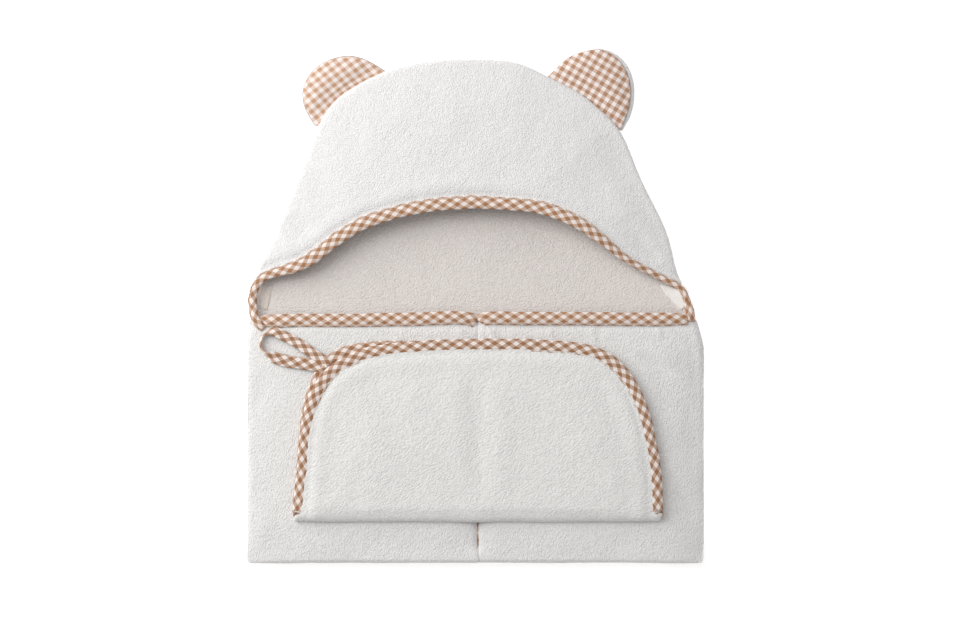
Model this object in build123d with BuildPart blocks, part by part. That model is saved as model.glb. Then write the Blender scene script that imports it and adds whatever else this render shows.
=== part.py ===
"""Hooded baby towel, folded for display, with its matching washcloth laid on it.

The towel is one piece of terry, bound all round with bias binding, with a hood
sewn to the middle of its top edge.  Its two sides are folded in to meet at the
centre line, and the strip this makes is fan-folded under itself into three
equal segments.  A folded washcloth with a hanging loop lies on top.

Frame: millimetres, +Z up, the towel lying on its back.  The origin is the
centre of the folded body's resting face; +Y points to the top of the hood and
+X to the right of the hood's mouth.
"""
from build123d import *

import os
from math import cos, hypot, radians, sin

os.makedirs("parts", exist_ok=True)


# ---------------------------------------------------------------- helpers
def above(heights, thickness, gap=0.2):
    """Bottom and top height of a layer lying a gap above the given one."""
    bottom = heights[1] + gap
    return bottom, bottom + thickness


def widened(heights, margin):
    """Heights moved apart by a margin at both the bottom and the top."""
    return heights[0] - margin, heights[1] + margin


def thickness_of(heights):
    return heights[1] - heights[0]


def middle_of(heights):
    return sum(heights) / 2


def level(z):
    """Horizontal sketch plane at height z."""
    return Plane.XY.offset(z)


def moved(point, step):
    return point[0] + step[0], point[1] + step[1]


def shifted(points, left):
    """The points moved sideways by left mm, square to the line they follow."""
    result = []
    for i, (x, y) in enumerate(points):
        x0, y0 = points[max(i - 1, 0)]
        x1, y1 = points[min(i + 1, len(points) - 1)]
        length = hypot(x1 - x0, y1 - y0)
        result.append((x - (y1 - y0) / length * left, y + (x1 - x0) / length * left))
    return result


# The next three draw into the BuildLine block that calls them.
def draw_closed_spline(points):
    """Spline through the points, closed by a straight line."""
    Spline(*points)
    Line(points[-1], points[0])


def draw_band(first_edge, second_edge):
    """Outline between two splines, with straight ends."""
    Spline(*first_edge)
    Line(first_edge[-1], second_edge[-1])
    Spline(*reversed(second_edge))
    Line(second_edge[0], first_edge[0])


def draw_extended_band(first_edge, second_edge, start_step, end_step):
    """Outline between two splines, run on past its ends by the given steps."""
    Spline(*first_edge)
    Polyline(first_edge[-1], moved(first_edge[-1], end_step),
             moved(second_edge[-1], end_step), second_edge[-1])
    Spline(*reversed(second_edge))
    Polyline(second_edge[0], moved(second_edge[0], start_step),
             moved(first_edge[0], start_step), first_edge[0])


def save(builder, name):
    """Label the finished piece and write its STEP file."""
    builder.part.label = name
    export_step(builder.part, f"parts/{name}.step")


def save_pair(left_builder, name):
    """Save the left piece and its mirror image on the right."""
    save(left_builder, f"left_{name}")
    with BuildPart() as right_piece:
        add(mirror(left_builder.part, about=Plane.YZ, mode=Mode.PRIVATE))
    save(right_piece, f"right_{name}")


def save_sheet(name, plane, thickness, outline):
    """Build and save a flat sheet with a splined outline and a straight base."""
    with BuildPart() as sheet:
        with BuildSketch(plane):
            with BuildLine():
                draw_closed_spline(outline)
            make_face()
        extrude(amount=thickness)
    save(sheet, name)


# ---------------------------------------------------------------- body dimensions
HALF_W = 187.5          # half the folded body's width
Y_LOW = -98.5           # bottom edge of the folded body
Y_TOP = 110.0           # shoulder edge of the folded body
BODY_LEN = Y_TOP - Y_LOW
BODY_Y = (Y_LOW + Y_TOP) / 2
SLIT = 1.2              # half the gap between the two side flaps
BIND_W = 10.9           # visible width of the shoulder and hood bindings
SLOT_PLAY = 0.05        # room on each face of a layer inside its binding
FLAP_T = 3.4            # thickness of the upper side flaps

# bottom and top heights of the layers, from the table up
Z_LOWER_BACK = (0.0, 3.2)
Z_LOWER_FLAP = above(Z_LOWER_BACK, 3.0)
Z_MIDDLE_FLAP = above(Z_LOWER_FLAP, 3.2)
Z_MIDDLE_BACK = above(Z_MIDDLE_FLAP, 3.0)
Z_UPPER_BACK = above(Z_MIDDLE_BACK, 3.2)
Z_TUCK = above(Z_UPPER_BACK, 2.3)
Z_FLAP = above(Z_TUCK, FLAP_T, gap=0.7)

# ------------------------------------------------------------ upper segment
# the back layer is the piece everything else is folded round
with BuildPart() as upper_back_panel:
    with BuildSketch(level(Z_UPPER_BACK[0])):
        with Locations((0, BODY_Y)):
            RectangleRounded(2 * HALF_W, BODY_LEN, 4)
    extrude(amount=thickness_of(Z_UPPER_BACK))
    fillet(upper_back_panel.edges().group_by(Axis.Z)[-1], 1.0)
save(upper_back_panel, "upper_back_panel")

# side flaps: folded in from the side, then turned under at the centre line
TUCK_W = 75.0                           # width turned under at the centre
THIN_W = 10.0                           # width of the thinner strip at its edge
FLAP_ROUND = 2.4
Z_THIN = widened(Z_TUCK, -0.5)
SIDE_OUT = -HALF_W + 0.2                # outer and inner face of the side fold
SIDE_IN = SIDE_OUT + FLAP_T
CENTRE_IN = -SLIT - FLAP_T              # inner face of the fold at the centre
TUCK_END = -SLIT - TUCK_W
THIN_START = TUCK_END + THIN_W

# (x, z) section of the left flap
FLAP_SECTION = [
    (SIDE_OUT, Z_TUCK[0]), (SIDE_IN, Z_TUCK[0]),
    (SIDE_IN, Z_FLAP[0]), (CENTRE_IN, Z_FLAP[0]),
    (CENTRE_IN, Z_TUCK[1]), (THIN_START, Z_TUCK[1]),
    (THIN_START, Z_THIN[1]), (TUCK_END, Z_THIN[1]),
    (TUCK_END, Z_THIN[0]), (THIN_START, Z_THIN[0]),
    (THIN_START, Z_TUCK[0]), (-SLIT, Z_TUCK[0]),
    (-SLIT, Z_FLAP[1]), (SIDE_OUT, Z_FLAP[1]),
]
with BuildPart() as left_side_flap:
    with BuildSketch(Plane.XZ.offset(-Y_TOP)):
        with BuildLine():
            Polyline(*FLAP_SECTION, close=True)
        make_face()
    extrude(amount=BODY_LEN)
    # the long edges on the top face and on the face at the centre slit
    fold_edges = (
        left_side_flap.edges().filter_by(Axis.Y)
        .filter_by(lambda edge: (abs(edge.center().Z - Z_FLAP[1]) < 0.01)
                   or (abs(edge.center().X + SLIT) < 0.01))
    )
    fillet(fold_edges, FLAP_ROUND)
save_pair(left_side_flap, "side_flap")

# binding on the side edges, hidden under the flaps
EDGE_BIND_W = 10.6
EDGE_SLOT_W = 10.5
EDGE_BIND_INSET = 0.4                   # stops this short of the flap's ends
with BuildPart() as left_side_edge_binding:
    with BuildSketch(Plane.XZ.offset(-Y_TOP + EDGE_BIND_INSET)):
        with Locations((TUCK_END + 4.6, middle_of(Z_TUCK))):
            Rectangle(EDGE_BIND_W, thickness_of(Z_TUCK))
        with Locations((TUCK_END + 5.2, middle_of(Z_TUCK))):
            Rectangle(EDGE_SLOT_W, thickness_of(Z_THIN) + 2 * SLOT_PLAY, mode=Mode.SUBTRACT)
    extrude(amount=BODY_LEN - 2 * EDGE_BIND_INSET)
save_pair(left_side_edge_binding, "side_edge_binding")

# shoulder bindings: a channel over the top edge of each flap
SHOULDER_BIND_X = (-HALF_W + 3.9, -SLIT - 3.8)
SHOULDER_WRAP = 0.6                     # binding thickness on each face
with BuildPart() as left_shoulder_binding:
    with BuildSketch(Plane.YZ.offset(SHOULDER_BIND_X[0])):
        with Locations((Y_TOP + 0.7 - BIND_W / 2, middle_of(Z_FLAP))):
            RectangleRounded(BIND_W, FLAP_T + 2 * SHOULDER_WRAP, 0.5)
        with Locations((Y_TOP + 0.1 - BIND_W / 2, middle_of(Z_FLAP))):
            Rectangle(BIND_W, FLAP_T + 2 * SLOT_PLAY, mode=Mode.SUBTRACT)
    extrude(amount=SHOULDER_BIND_X[1] - SHOULDER_BIND_X[0])
save_pair(left_shoulder_binding, "shoulder_binding")

# ------------------------------------------------- middle and lower segments
# the same strip, fan-folded under the upper segment
SEG_W = HALF_W - 1.0                    # half the width of these segments
SEG_LEN = BODY_LEN - 1
FLAP_W = SEG_W - SLIT
FLAP_X = SLIT + FLAP_W / 2              # middle of the right flap

with BuildPart() as middle_back_layer:
    with BuildSketch(level(Z_MIDDLE_BACK[0])):
        with Locations((0, BODY_Y)):
            RectangleRounded(2 * SEG_W, SEG_LEN, 4)
    extrude(amount=thickness_of(Z_MIDDLE_BACK))
save(middle_back_layer, "middle_back_layer")

with BuildPart() as middle_front_flaps:
    with BuildSketch(level(Z_MIDDLE_FLAP[0])):
        with Locations((-FLAP_X, BODY_Y), (FLAP_X, BODY_Y)):
            RectangleRounded(FLAP_W, SEG_LEN, 3)
    extrude(amount=thickness_of(Z_MIDDLE_FLAP))
save(middle_front_flaps, "middle_front_flaps")

HEM_Y = Y_LOW + 5.0                     # the hem stops short of the fold above it
HEM_W = 11.0                            # width of the thinner strip along the hem
HEM_WRAP = 0.6                          # thickness it loses on each face
HEM_BIND_W = 10.8
LOWER_Y = (HEM_Y + HEM_W, Y_TOP - 1)    # the full-thickness part


def save_lower_layer(name, heights, width, centres_x):
    """Build and save rectangles that get thinner along the hem."""
    thin_heights = widened(heights, -HEM_WRAP)
    with BuildPart() as lower_layer:
        with BuildSketch(level(heights[0])):
            with Locations(*[(x, middle_of(LOWER_Y)) for x in centres_x]):
                Rectangle(width, LOWER_Y[1] - LOWER_Y[0])
        extrude(amount=thickness_of(heights))
        with BuildSketch(level(thin_heights[0])):
            with Locations(*[(x, HEM_Y + 6.4) for x in centres_x]):
                Rectangle(width, HEM_W)
        extrude(amount=thickness_of(thin_heights))
    save(lower_layer, name)


save_lower_layer("lower_front_flaps", Z_LOWER_FLAP, FLAP_W, (-FLAP_X, FLAP_X))
save_lower_layer("lower_back_layer", Z_LOWER_BACK, 2 * SEG_W, (0,))

# hem binding: one channel on the back layer and one on each flap
# (left end x, length, heights)
HEM_CHANNELS = [
    (-SEG_W, 2 * SEG_W, Z_LOWER_BACK),
    (-SEG_W, FLAP_W, Z_LOWER_FLAP),
    (SLIT, FLAP_W, Z_LOWER_FLAP),
]
with BuildPart() as lower_hem_binding:
    for left_end, length, heights in HEM_CHANNELS:
        slot_height = thickness_of(heights) - 2 * (HEM_WRAP - SLOT_PLAY)
        with BuildSketch(Plane.YZ.offset(left_end)):
            with Locations((HEM_Y + 5.45, middle_of(heights))):
                Rectangle(HEM_BIND_W, thickness_of(heights))
            with Locations((HEM_Y + 6.3, middle_of(heights))):
                Rectangle(HEM_W, slot_height, mode=Mode.SUBTRACT)
        extrude(amount=length)
save(lower_hem_binding, "lower_hem_binding")

# ------------------------------------------------------------------- hood
HOOD_TILT = 3.55        # the hood slopes down to the table, in degrees
SHOULDER = (0.0, Y_TOP + 0.5, Z_UPPER_BACK[0])

# bottom and top heights above the hood plane
HOOD_BACK_N = (0.0, 3.2)
HOOD_SEAM_N = (3.3, 8.4)
HOOD_FRONT_N = (8.5, 11.5)
HOOD_BIND_N = widened(HOOD_FRONT_N, 0.6)
HOOD_SLOT_N = widened(HOOD_FRONT_N, 0.06)

# (x, y) hood outline, from the left end of the shoulder over the crown to the right
HOOD_OUTLINE = [
    (-186.0, 111.0), (-183.6, 134.0), (-176.0, 153.0), (-163.0, 181.5),
    (-151.4, 210.4), (-138.2, 243.4), (-129.0, 262.5), (-101.9, 288.8),
    (-73.8, 307.7), (-40.0, 317.5), (0.0, 319.3), (38.0, 315.8),
    (62.0, 304.6), (88.0, 289.6), (118.4, 261.8), (133.5, 229.0),
    (148.1, 198.0), (161.0, 166.0), (169.0, 137.0), (176.5, 124.0),
    (180.5, 111.0),
]
# (x, y) edge of the hood's mouth, along the middle of its binding, left to right
MOUTH = [
    (-179.1, 133.6), (-166.5, 143.4), (-144.0, 150.2), (-113.4, 171.9),
    (-80.7, 188.3), (-30.1, 199.2), (20.2, 200.2), (70.9, 190.8),
    (106.3, 168.1), (141.5, 141.7), (166.5, 132.6),
]

hood_plane = Plane(
    origin=SHOULDER, x_dir=(1, 0, 0),
    z_dir=(0, sin(radians(HOOD_TILT)), cos(radians(HOOD_TILT))),
)


def on_hood(points):
    """Table coordinates turned into the sloping hood plane's own."""
    return [(x, (y - SHOULDER[1]) / cos(radians(HOOD_TILT))) for x, y in points]


hood_outline = on_hood(HOOD_OUTLINE)
mouth = on_hood(MOUTH)
save_sheet("hood_back_panel", hood_plane.offset(HOOD_BACK_N[0]),
           thickness_of(HOOD_BACK_N), hood_outline)

# the front is nearly the same outline with the mouth cut away along its lower edge
CUT_X = 220             # the cut reaches past the hood at the sides and below
CUT_LOW = -20
mouth_cut = shifted(mouth, -3.8)
with BuildPart() as hood_front_panel:
    with BuildSketch(hood_plane.offset(HOOD_FRONT_N[0])):
        with BuildLine():
            draw_closed_spline(shifted(hood_outline, -0.6))
        make_face()
        with BuildLine():
            Line((-CUT_X, mouth_cut[0][1]), mouth_cut[0])
            Spline(*mouth_cut)
            Polyline(mouth_cut[-1], (CUT_X, mouth_cut[-1][1]), (CUT_X, CUT_LOW),
                     (-CUT_X, CUT_LOW), (-CUT_X, mouth_cut[0][1]))
        make_face(mode=Mode.SUBTRACT)
    extrude(amount=thickness_of(HOOD_FRONT_N))
save(hood_front_panel, "hood_front_panel")

# seam allowance that joins front and back round the hood's outline
seam_run = hood_outline[3:18]
with BuildPart() as hood_perimeter_seam:
    with BuildSketch(hood_plane.offset(HOOD_SEAM_N[0])):
        with BuildLine():
            draw_band(shifted(seam_run, -0.8), shifted(seam_run, -5.0))
        make_face()
    extrude(amount=thickness_of(HOOD_SEAM_N))
save(hood_perimeter_seam, "hood_perimeter_seam")

# binding round the mouth: a channel over the front panel's lower edge
with BuildPart() as hood_face_binding:
    with BuildSketch(hood_plane.offset(HOOD_BIND_N[0])):
        with BuildLine():
            draw_band(shifted(mouth, BIND_W / 2), shifted(mouth, -BIND_W / 2))
        make_face()
    extrude(amount=thickness_of(HOOD_BIND_N))
    with BuildSketch(hood_plane.offset(HOOD_SLOT_N[0])):
        with BuildLine():
            draw_extended_band(shifted(mouth, BIND_W / 2 + 1), shifted(mouth, -3.9),
                               start_step=(-9, -7), end_step=(9, -3))
        make_face()
    extrude(amount=thickness_of(HOOD_SLOT_N), mode=Mode.SUBTRACT)
save(hood_face_binding, "hood_face_binding")

# the binding's two ends, turning down from the mouth towards the shoulders
CORNER_W, CORNER_LEN, CORNER_T = 9.0, 9.6, 4.2
CORNER_Y = 13.8         # middle of each end, along the hood plane
for side, corner_x in (("left", -180.1), ("right", 169.3)):
    with BuildPart() as corner_binding:
        with BuildSketch(hood_plane.offset(HOOD_BACK_N[1] + 0.2)):
            with Locations((corner_x, CORNER_Y)):
                RectangleRounded(CORNER_W, CORNER_LEN, 2)
        extrude(amount=CORNER_T)
    save(corner_binding, f"{side}_corner_binding")

# ------------------------------------------------------------------- ears
EAR_OFFSET = 4.4        # the ear's straight edge lies this far out from its base line

# side, (x, y) ends of the base line, (x, y) rounded outline between them
EARS = [
    ("left", [(-131.6, 265.4), (-76.6, 309.2)],
     [(-139.4, 279.0), (-141.8, 292.0), (-134.6, 307.4),
      (-118.0, 318.2), (-99.6, 320.5), (-84.0, 314.6)]),
    ("right", [(62.6, 308.6), (121.4, 263.8)],
     [(74.6, 317.6), (92.8, 326.4), (110.0, 326.6),
      (124.6, 316.0), (130.2, 298.0), (127.4, 276.0)]),
]
# layer, heights above the hood plane, inset of its outline
EAR_LAYERS = [
    ("back", (0.6, 2.9), 0.0),
    ("padding", (3.1, 6.3), 2.0),
    ("front", (6.5, 7.7), 0.0),
]
for side, base, rounded in EARS:
    first, last = shifted(on_hood(base), EAR_OFFSET)
    ear_outline = [first] + on_hood(rounded) + [last]
    for layer, heights, inset in EAR_LAYERS:
        save_sheet(f"{side}_ear_{layer}", hood_plane.offset(heights[0]),
                   thickness_of(heights), shifted(ear_outline, -inset))

# -------------------------------------------------------------- washcloth
# folded in half along its bottom edge
CLOTH_FOLD_Y = -62.4
CLOTH_T = 2.0
CLOTH_WRAP = 0.55       # binding thickness on each face
CLOTH_BIND_W = 10.3
Z_CLOTH_LOWER = above(Z_FLAP, CLOTH_T, gap=0.95)
Z_CLOTH_UPPER = above(Z_CLOTH_LOWER, CLOTH_T, gap=2 * CLOTH_WRAP + 0.2)

# (x, y) outlines, from the left end of the fold, round the top, to the right end
CLOTH_UPPER_OUTLINE = [
    (-150.8, CLOTH_FOLD_Y), (-146.4, -13.2), (-136.5, 42.0), (-118.0, 68.5),
    (-86.0, 82.0), (-50.0, 86.0), (70.0, 86.2), (104.0, 79.4),
    (128.3, 58.6), (147.7, 7.4), (153.4, -36.3), (153.9, CLOTH_FOLD_Y),
]
CLOTH_LOWER_OUTLINE = [
    (-150.2, CLOTH_FOLD_Y), (-147.0, -13.2), (-139.5, 42.0), (-124.0, 70.5),
    (-92.0, 84.5), (-50.0, 86.4), (70.0, 85.8), (103.0, 79.0),
    (127.4, 58.2), (146.9, 7.2), (152.8, -36.3), (153.2, CLOTH_FOLD_Y),
]


def save_washcloth_binding(name, outline, cloth_heights):
    """Build and save a channel round the curved edge of one half."""
    bind_heights = widened(cloth_heights, CLOTH_WRAP)
    slot_heights = widened(cloth_heights, SLOT_PLAY)
    past_fold = (0, -6)
    with BuildPart() as washcloth_binding:
        with BuildSketch(level(bind_heights[0])):
            with BuildLine():
                draw_band(outline, shifted(outline, -CLOTH_BIND_W))
            make_face()
        extrude(amount=thickness_of(bind_heights))
        with BuildSketch(level(slot_heights[0])):
            with BuildLine():
                draw_extended_band(shifted(outline, -1.5), shifted(outline, -CLOTH_BIND_W - 1),
                                   start_step=past_fold, end_step=past_fold)
            make_face()
        extrude(amount=thickness_of(slot_heights), mode=Mode.SUBTRACT)
        # both ends stop square at the fold
        split(bisect_by=Plane.XZ.offset(-CLOTH_FOLD_Y), keep=Keep.BOTTOM)
    save(washcloth_binding, name)


for half, outline, heights in (("upper", CLOTH_UPPER_OUTLINE, Z_CLOTH_UPPER),
                               ("lower", CLOTH_LOWER_OUTLINE, Z_CLOTH_LOWER)):
    save_sheet(f"washcloth_{half}_half", level(heights[0]), CLOTH_T, shifted(outline, -1.6))
    save_washcloth_binding(f"washcloth_{half}_binding", outline, heights)

# ------------------------------------------------------------ hanging loop
# a strip of the same binding, sewn to the lower half's corner: a teardrop
# lying on the left side flap
Z_LOOP = (23.6, 26.6)

# (x, y) outlines of the strip's outer and inner edges
LOOP_OUTER = [
    (-130.6, 64.6), (-142.0, 63.6), (-156.0, 65.6), (-170.0, 69.5),
    (-178.0, 75.5), (-179.6, 84.0), (-175.8, 92.8), (-167.0, 96.2),
    (-156.0, 93.2), (-146.0, 89.6), (-136.0, 85.6), (-128.0, 79.4),
    (-121.6, 74.8),
]
LOOP_INNER = [
    (-145.0, 77.4), (-156.0, 76.6), (-168.0, 78.6), (-174.0, 83.0),
    (-172.0, 88.4), (-165.0, 89.6), (-155.0, 86.2), (-147.0, 81.5),
]
with BuildPart() as hanging_loop:
    with BuildSketch(level(Z_LOOP[0])):
        with BuildLine():
            draw_closed_spline(LOOP_OUTER)
        make_face()
        with BuildLine():
            draw_closed_spline(LOOP_INNER)
        make_face(mode=Mode.SUBTRACT)
    extrude(amount=thickness_of(Z_LOOP))
save(hanging_loop, "hanging_loop")

# bar tack: the stitched block that holds the loop to the washcloth
TACK_LEN, TACK_W, TACK_T = 7.0, 1.8, 0.9
tack_plane = Plane(origin=(-124.3, 66.9, Z_LOOP[1]), x_dir=(0.66, 0.75, 0), z_dir=(0, 0, 1))
with BuildPart() as loop_bar_tack:
    with BuildSketch(tack_plane):
        RectangleRounded(TACK_LEN, TACK_W, 0.6)
    extrude(amount=TACK_T)
save(loop_bar_tack, "loop_bar_tack")
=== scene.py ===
"""A folded hooded baby towel with a folded washcloth on it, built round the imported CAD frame.

X runs across the towel, with the left side at -X. Y runs from the bottom fold at -Y to the
hood and its two ears at +Y. Z rises from the table at 0. Shapes are in mm and are scaled to
metres when a mesh is written. Shader sizes, lights and camera are in metres.
"""
import math

import bmesh
import bpy
import numpy as np
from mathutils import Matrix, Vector, kdtree


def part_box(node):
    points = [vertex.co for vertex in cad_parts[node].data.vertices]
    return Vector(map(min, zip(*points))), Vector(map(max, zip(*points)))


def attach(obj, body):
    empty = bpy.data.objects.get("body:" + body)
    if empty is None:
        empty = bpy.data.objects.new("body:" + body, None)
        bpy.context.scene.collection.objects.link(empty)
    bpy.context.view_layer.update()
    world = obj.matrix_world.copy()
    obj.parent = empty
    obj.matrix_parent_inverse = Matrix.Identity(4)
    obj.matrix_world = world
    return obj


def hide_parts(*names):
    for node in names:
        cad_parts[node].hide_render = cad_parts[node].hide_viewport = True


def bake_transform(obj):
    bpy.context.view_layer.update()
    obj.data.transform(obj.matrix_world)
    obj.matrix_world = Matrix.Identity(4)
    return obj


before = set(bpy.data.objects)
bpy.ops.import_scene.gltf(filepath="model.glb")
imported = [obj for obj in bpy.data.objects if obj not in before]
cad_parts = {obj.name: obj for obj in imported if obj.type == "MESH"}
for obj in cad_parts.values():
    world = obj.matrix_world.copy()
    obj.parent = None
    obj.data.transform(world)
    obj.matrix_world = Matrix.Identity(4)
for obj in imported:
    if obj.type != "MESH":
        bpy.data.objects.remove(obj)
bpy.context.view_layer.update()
COLLECTION = bpy.context.scene.collection


# ---------------------------------------------------------------- driving sizes, in mm
def cad_span_y(name):
    """Lowest and highest y of a CAD piece."""
    low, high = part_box(name)
    return low[1] * 1000, high[1] * 1000


HALF_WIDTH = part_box("upper_back_panel")[1][0] * 1000
FLAP_Y0, FLAP_Y1 = cad_span_y("left_side_flap")
MIDDLE_Y0, MIDDLE_Y1 = cad_span_y("middle_back_layer")
LOWER_Y0 = cad_span_y("lower_front_flaps")[0]
FOLD_Y = cad_span_y("washcloth_upper_half")[0] - 0.3    # the washcloth's fold line

# The hood lies in its own plane, which starts here and slopes down towards +Y.
HOOD_Y, HOOD_Z = 110.5, 13.2
TILT = math.radians(3.55)
COS_TILT, SIN_TILT = math.cos(TILT), math.sin(TILT)
HOOD_UP = (0, SIN_TILT, COS_TILT)

SLIT_X = 2.0                        # where the two flaps meet
SEGMENT_HALF = HALF_WIDTH - 0.3     # half width of the two layers under the body
SEGMENT_Y1 = MIDDLE_Y1 - 3.0
LOWER_HEM_Y = LOWER_Y0 + 2.0
BINDING_INSET = 5.2                 # washcloth edge to the middle of its binding
CHECK_REPEAT = 6.35                 # gingham repeat with the cloth lying flat

# Outlines as (x, y), running from left to right over the top.
HOOD_OUTLINE = [
    (-186.0, 111.0), (-183.6, 134.0), (-176.0, 153.0), (-163.0, 181.5),
    (-151.4, 210.4), (-138.2, 243.4), (-129.6, 265.0), (-113.0, 287.6), (-101.0, 296.0),
    (-78.6, 307.6), (-60.0, 313.4), (-30.0, 318.4), (0.0, 319.3), (36.0, 316.0),
    (59.8, 305.2), (72.0, 298.6), (87.2, 290.4), (101.4, 279.4), (118.2, 262.2), (133.5, 229.0),
    (148.1, 198.0), (161.0, 166.0), (169.0, 137.0), (176.5, 124.0),
    (180.5, 111.0),
]
MOUTH = [
    (-179.1, 132.6), (-166.5, 141.6), (-144.0, 148.2), (-113.4, 169.8),
    (-80.7, 186.4), (-30.1, 197.4), (20.2, 198.4), (70.9, 189.2),
    (106.3, 167.0), (141.5, 141.0), (166.5, 132.2),
]
CLOTH_UPPER = [
    (-150.8, -62.4), (-146.4, -13.2), (-136.5, 42.0), (-118.0, 68.5),
    (-86.0, 82.0), (-50.0, 86.0), (70.0, 86.2), (104.0, 79.4),
    (128.3, 58.6), (147.7, 7.4), (153.4, -36.3), (153.9, -62.4),
]
CLOTH_LOWER = [
    (-150.2, -62.4), (-147.0, -13.2), (-139.5, 42.0), (-124.0, 70.5),
    (-92.0, 84.5), (-50.0, 86.4), (70.0, 85.8), (103.0, 79.0),
    (127.4, 58.2), (146.9, 7.2), (152.8, -36.3), (153.2, -62.4),
]


def to_hood(points):
    """Table (x, y) to (x, distance up the hood plane)."""
    return [(x, (y - HOOD_Y) / COS_TILT) for x, y in points]


def hood_world(points):
    """Hood plane (x, distance, height) to the table's x, y, z."""
    x, slope, height = np.asarray(points, float).T
    return np.stack([x, HOOD_Y + slope * COS_TILT + height * SIN_TILT,
                     HOOD_Z - slope * SIN_TILT + height * COS_TILT], 1)


# ------------------------------------------------------------------ curves and noise
def lengths(line):
    """Distance along a line to each of its points."""
    return np.concatenate([[0], np.cumsum(np.linalg.norm(np.diff(line, axis=0), axis=1))])


def unit(vectors):
    return vectors / np.linalg.norm(vectors, axis=1)[:, None]


def resample(line, step):
    line = np.asarray(line, float)
    along = lengths(line)
    count = max(int(round(along[-1] / step)), 2)
    at = np.linspace(0, along[-1], count + 1)
    return np.stack([np.interp(at, along, column) for column in line.T], 1)


def smooth_curve(points, step):
    """A natural cubic spline through the points, sampled every step mm."""
    points = np.asarray(points, float)
    knots = lengths(points)
    last = len(points) - 1
    gap = np.diff(knots)
    slope = np.diff(points, axis=0) / gap[:, None]
    system = np.eye(last + 1)
    target = np.zeros(points.shape)
    for i in range(1, last):
        system[i, i - 1:i + 2] = gap[i - 1], 2 * (gap[i - 1] + gap[i]), gap[i]
        target[i] = 6 * (slope[i] - slope[i - 1])
    bend = np.linalg.solve(system, target)
    at = np.linspace(0, knots[-1], max(int(knots[-1] / 0.25), 8))
    i = np.clip(np.searchsorted(knots, at, side="right") - 1, 0, last - 1)
    ahead, behind = (knots[i + 1] - at)[:, None], (at - knots[i])[:, None]
    span = gap[i][:, None]
    curve = (bend[i] * ahead**3 + bend[i + 1] * behind**3) / (6 * span) \
        + (points[i] / span - bend[i] * span / 6) * ahead \
        + (points[i + 1] / span - bend[i + 1] * span / 6) * behind
    return resample(curve, step)


def shifted(line, left):
    """A 2D line moved sideways to its left."""
    line = np.asarray(line, float)
    along = unit(np.gradient(line, axis=0))
    return np.stack([line[:, 0] - along[:, 1] * left, line[:, 1] + along[:, 0] * left], 1)


def evened(values, rounds):
    """Each value or row averaged with its neighbours, the two ends held."""
    values = values.copy()
    for _ in range(rounds):
        values[1:-1] = (values[:-2] + 2 * values[1:-1] + values[2:]) / 4
    return values


def distance_to(points, line, chunk=4000):
    """Distance in x, y from each point to the nearest point of a dense line."""
    points = points[:, :2]
    out = np.empty(len(points))
    for i in range(0, len(points), chunk):    # in chunks, to save memory
        part = points[i:i + chunk]
        out[i:i + chunk] = np.sqrt(((part[:, None, :] - line[None]) ** 2).sum(2).min(1))
    return out


def point_tree(points):
    tree = kdtree.KDTree(len(points))
    for i, point in enumerate(points):
        tree.insert(point, i)
    tree.balance()
    return tree


def smoothstep(x):
    x = np.clip(x, 0, 1)
    return x * x * (3 - 2 * x)


def end_round(near, reach, low):
    """Scale that falls from 1 to low in a quarter round within reach of an end."""
    return low + (1 - low) * math.sqrt(max(1 - (1 - min(near / reach, 1)) ** 2, 0))


noise_tables = {}


def noise(points, wave, seed):
    """Smooth value noise in -1..1 at the given wavelength, for 2D or 3D points."""
    points = np.asarray(points, float) / wave
    if points.shape[1] == 2:
        points = np.concatenate([points, np.full((len(points), 1), 0.37)], 1)
    if seed not in noise_tables:
        noise_tables[seed] = np.random.default_rng(seed).random((64, 64, 64)) * 2 - 1
    cell = np.floor(points).astype(int)
    part = points - cell
    part = part * part * (3 - 2 * part)
    out = np.zeros(len(points))
    for corner in np.ndindex(2, 2, 2):
        weight = np.where(corner, part, 1 - part).prod(1)
        out += weight * noise_tables[seed][tuple(((cell + corner) % 64).T)]
    return out


def ripple(along, wave, seed):
    """The noise at one distance along a line."""
    return noise([[along, 0.0]], wave, seed)[0]


def ridges(points, marks):
    """Summed soft ridges and creases, each fading at both ends.
    A mark is (x0, y0, x1, y1, width, height)."""
    total = np.zeros(len(points))
    for x0, y0, x1, y1, width, height in marks:
        start, run = np.array([x0, y0], float), np.array([x1 - x0, y1 - y0], float)
        at = np.clip(((points[:, :2] - start) @ run) / np.linalg.norm(run) ** 2, 0, 1)
        off = np.linalg.norm(points[:, :2] - (start + at[:, None] * run), axis=1)
        fade = np.clip(np.sin(at * math.pi), 0, 1) ** 0.7
        total += height * np.exp(-(off / width) ** 2) * fade
    return total


# --------------------------------------------------------------------- meshes
def shade_smooth(piece):
    faces = piece.data.polygons
    faces.foreach_set("use_smooth", np.ones(len(faces), bool))


def new_object(name, verts, faces, uv=None, smooth=True):
    """verts and uv in mm. uv, if given, holds one (u, v) for each face corner."""
    mesh = bpy.data.meshes.new(name)
    mesh.from_pydata([tuple(v) for v in np.asarray(verts, float) / 1000], [], faces)
    mesh.update()
    if uv is not None:
        layer = mesh.uv_layers.new(name="cloth")
        layer.data.foreach_set("uv", (np.array(uv) / 1000).astype(np.float32).ravel())
    piece = bpy.data.objects.new(name, mesh)
    if smooth:
        shade_smooth(piece)
    COLLECTION.objects.link(piece)
    return piece


def mesh_vectors(mesh, kind="co"):
    values = np.zeros(len(mesh.vertices) * 3)
    mesh.vertices.foreach_get(kind, values)
    return values.reshape(-1, 3)


def get_points(piece):
    return mesh_vectors(piece.data) * 1000


def set_points(piece, points):
    piece.data.vertices.foreach_set("co", (np.asarray(points, float) / 1000).ravel())
    piece.data.update()


def keep_above(piece, floor_z):
    points = get_points(piece)
    points[:, 2] = np.maximum(points[:, 2], floor_z)
    set_points(piece, points)


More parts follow.
